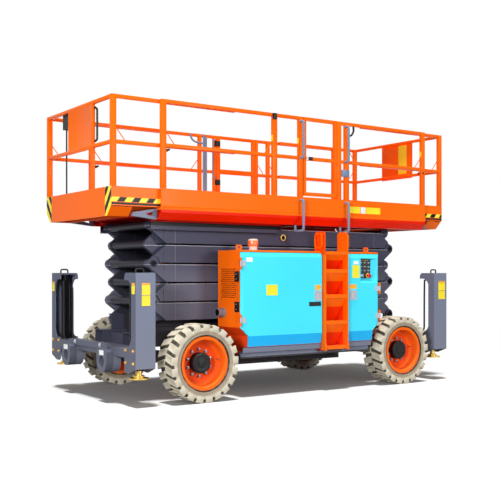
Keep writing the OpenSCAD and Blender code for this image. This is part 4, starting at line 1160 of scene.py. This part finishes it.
rods = [brace(x, -DECK_Y, 1) for x in (-1.817, 0.753)] + [brace(x, -DECK_Y, -1) for x in (-0.41, 2.007)]
rods += [brace(x, DECK_Y, 1) for x in (-1.817, 0.652, 0.855)] + [brace(-0.315, DECK_Y, -1)]
settle(join("lanyard_rods", rods), "platform", orange)
for end, sx in ENDS:
    rods = [brace(sx*CORNER_X, sy*EXT_Y, -sx) for sy in (-1, 1)]
    settle(join(f"{end}_lanyard_rods", rods), f"{end}_extension", orange)


def spring_knob(x, y, z):
    stem = soften(bar("stem", (x, y - 0.03, z), (x, y + 0.03, z), 0.011, 20), 0.002)
    knob = bar("knob", (x, y + 0.028, z), (x, y + 0.058, z), 0.018, 24)
    face_steps(knob, facing(Y), (0.005, along(Y, 0.004)))
    return join("knob", [soften(knob, 0.003), stem])


knobs = [spring_knob(x, y, MID - 0.028) for x in (-1.79, 2.03) for y in (-0.90, 0.86)]
settle(join("deck_lock_knobs", knobs), "platform", black_plastic)
latch = block("gate_latch", (0.115, -0.934, MID), (0.168, -0.917, MID + RAIL_T))
face_steps(latch, facing(Y, -1), (0.008, along(Y, -0.006)))
settle(soften(latch, 0.002), "gate", black_plastic)
plate("gate_latch_plate", "gate", "white", (0.082, -0.918, 2.733), (0.114, -0.918, 2.767), Y)
grip = [(-2.41, -0.405, 2.8), (-2.392, -0.43, 2.82), (-2.392, -0.43, 3.15), (-2.41, -0.405, 3.17)]
settle(tube("front_grip", grip, 0.012, 0.02), "front_extension", black_plastic)

# %% [markdown]
# ## Grab bars and deck bead
# Beside the gate hang bent tubes to hold while climbing: CAD has them with square corners, here they get their bends.
# A bent tube is quicker as a path with a round section than as a bent cylinder.
# A rolled bead runs along the deck's side: a flat bar whose face is inset and pushed in.

# %% Grab bars and bead
GRAB_OUT, GRAB_IN, GRAB_R, GRAB_BEND = -0.98, -0.918, 0.015, 0.035
BEAD_IN, BEAD_OUT, BEAD_LOW, BEAD_HIGH = 0.9195, 0.927, 2.064, 2.11
grips = []
for x in (-0.010, 0.690):
    loop = [(GRAB_IN, 2.75), (GRAB_OUT, 2.75), (GRAB_OUT, 3.18), (GRAB_IN, 3.18)]
    hook = [(-0.92, 2.248), (GRAB_OUT, 2.248), (GRAB_OUT, 1.888), (-0.82, 1.888), (-0.82, 1.96)]
    grips += [tube("grip", [(x, y, z) for y, z in path], GRAB_R, GRAB_BEND) for path in (loop, hook)]
grips = settle(join("bent_grab_bars", grips), "platform", handle_grey)
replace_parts(grips, "grab_bars")
for side, sy in SIDES:
    y0, y1 = sorted((sy*BEAD_IN, sy*BEAD_OUT))
    bead = block(f"deck_bead_{side}", (DECK_FRONT, y0, BEAD_LOW), (DECK_REAR, y1, BEAD_HIGH))
    face_steps(bead, facing(Y, sy), (0.012, along(Y, -sy*0.003)))
    settle(soften(bead, 0.003), "platform", orange)

# %% [markdown]
# ## Conduit and small boxes
# On the far rail, beside its shut gate, two rigid conduits climb to the top, with a bend to one side and a thin handle.
# Clamps and a small box are blocks with a raised face.

# %% Conduit and clamps
CONDUIT_Y, CONDUIT_X, CONDUIT_R, BEND_R, HANDLE_R = 0.863, -0.245, 0.0155, 0.0125, 0.009


def clamp_block(name, low, high):
    o = block(name, low, high)
    return soften(face_steps(o, facing(Y, -1), (0.008, along(Y, -0.006))), 0.003)


pipes = [tube("pipe", [(x, CONDUIT_Y, TOE - 0.2), (x, CONDUIT_Y, high)], CONDUIT_R, 0.02, 4)
         for x, high in ((CONDUIT_X, 3.235), (-0.212, 3.2))]
curl = [(CONDUIT_X, CONDUIT_Y, 3.115), (-0.36, CONDUIT_Y, 3.12), (-0.43, CONDUIT_Y + 0.012, 3.16),
        (-0.44, CONDUIT_Y + 0.02, 3.236)]
handle = [(-0.06, 0.885, 3.175), (-0.075, 0.85, 3.185), (-0.112, 0.85, 3.15), (-0.112, 0.85, 2.7),
          (-0.075, 0.85, 2.66), (-0.06, 0.885, 2.668)]
pipes += [tube("curl", curl, BEND_R, 0.08), tube("handle", handle, HANDLE_R, 0.03)]
settle(join("far_conduit", pipes), "platform", handle_grey)
clamps = [clamp_block("clamp", (-0.062, 0.842, z), (0.005, 0.88, z + 0.07)) for z in (2.575, 3.095)]
clamps.append(clamp_block("clamp", (-0.418, -0.945, 3.165), (-0.372, -0.916, 3.236)))
curl = [(0.835, -0.9, 3.21), (0.838, -0.905, 3.14), (0.8, -0.905, 3.085), (0.75, -0.9, 3.075)]
clamps.append(tube("curl", curl, BEND_R, 0.07))
settle(join("rail_clamps", clamps), "platform", black_plastic)
settle(clamp_block("rail_box", (0.622, -0.944, 2.566), (0.735, -0.9165, 2.65)), "platform", handle_grey)

# %% [markdown]
# ## Controls
# The ground panel in the rear door has a red stop button on a yellow ring, toggles and lamps; the box on the
# platform has a stick with a rubber boot. Small as they are, these are what a user looks for first.

# %% Ground panel and platform box
STOP_Y, TOGGLE_Y, LAMP_X, LAMP_Y, LAMP_Z, LAMP_PITCH, LAMPS = -1.0602, -1.0425, 0.815, -1.0308, 1.545, 0.0265, 6
BOX_X, STICK_Y, BOX_STOP_Y = -2.325, 0.2, 0.4


def knob_stack(name, place, steps, axis):
    """Rings of (radius, height), each standing on the last, looking along an axis."""
    parts, at = [], 0.0
    for radius, tall in steps:
        parts.append(soften(bar("ring", (0, 0, at), (0, 0, at + tall), radius, 28), min(radius, tall)*0.25))
        at += tall
    o = join(name, parts)
    o.data.transform(shift(*place) @ FACE_OUT[axis])
    return o


stop = knob_stack("stop_button", (STOP_X, STOP_Y, STOP_Z), [(0.025, 0.009), (0.019, 0.003)], "-y")
settle(stop, "door_near_rear", red_plastic)
toggles = [knob_stack("toggle", (x, TOGGLE_Y, z), [(0.006, 0.004), (0.0036, 0.016)], "-y")
           for x in (0.835, 0.897, 0.959) for z in (1.419, 1.467, 1.515)]
settle(join("panel_toggles", toggles), "door_near_rear", steel)
lamps = [knob_stack("lamp", (LAMP_X + LAMP_PITCH*i, LAMP_Y, LAMP_Z), [(0.006, 0.005)], "-y") for i in range(LAMPS)]
settle(join("panel_lamps", lamps), "door_near_rear", amber_film)
stick = knob_stack("box_stick", (BOX_X, STICK_Y, 3.205), [(0.03, 0.01), (0.024, 0.012), (0.018, 0.012)], "+z")
settle(stick, "front_extension", hose_rubber)
stop_ring = knob_stack("box_stop_ring", (BOX_X, BOX_STOP_Y, 3.231), [(0.03, 0.004)], "+z")
settle(stop_ring, "front_extension", yellow_film)
box_stop = knob_stack("box_stop", (BOX_X, BOX_STOP_Y, 3.2345), [(0.022, 0.012), (0.016, 0.004)], "+z")
settle(box_stop, "front_extension", red_plastic)
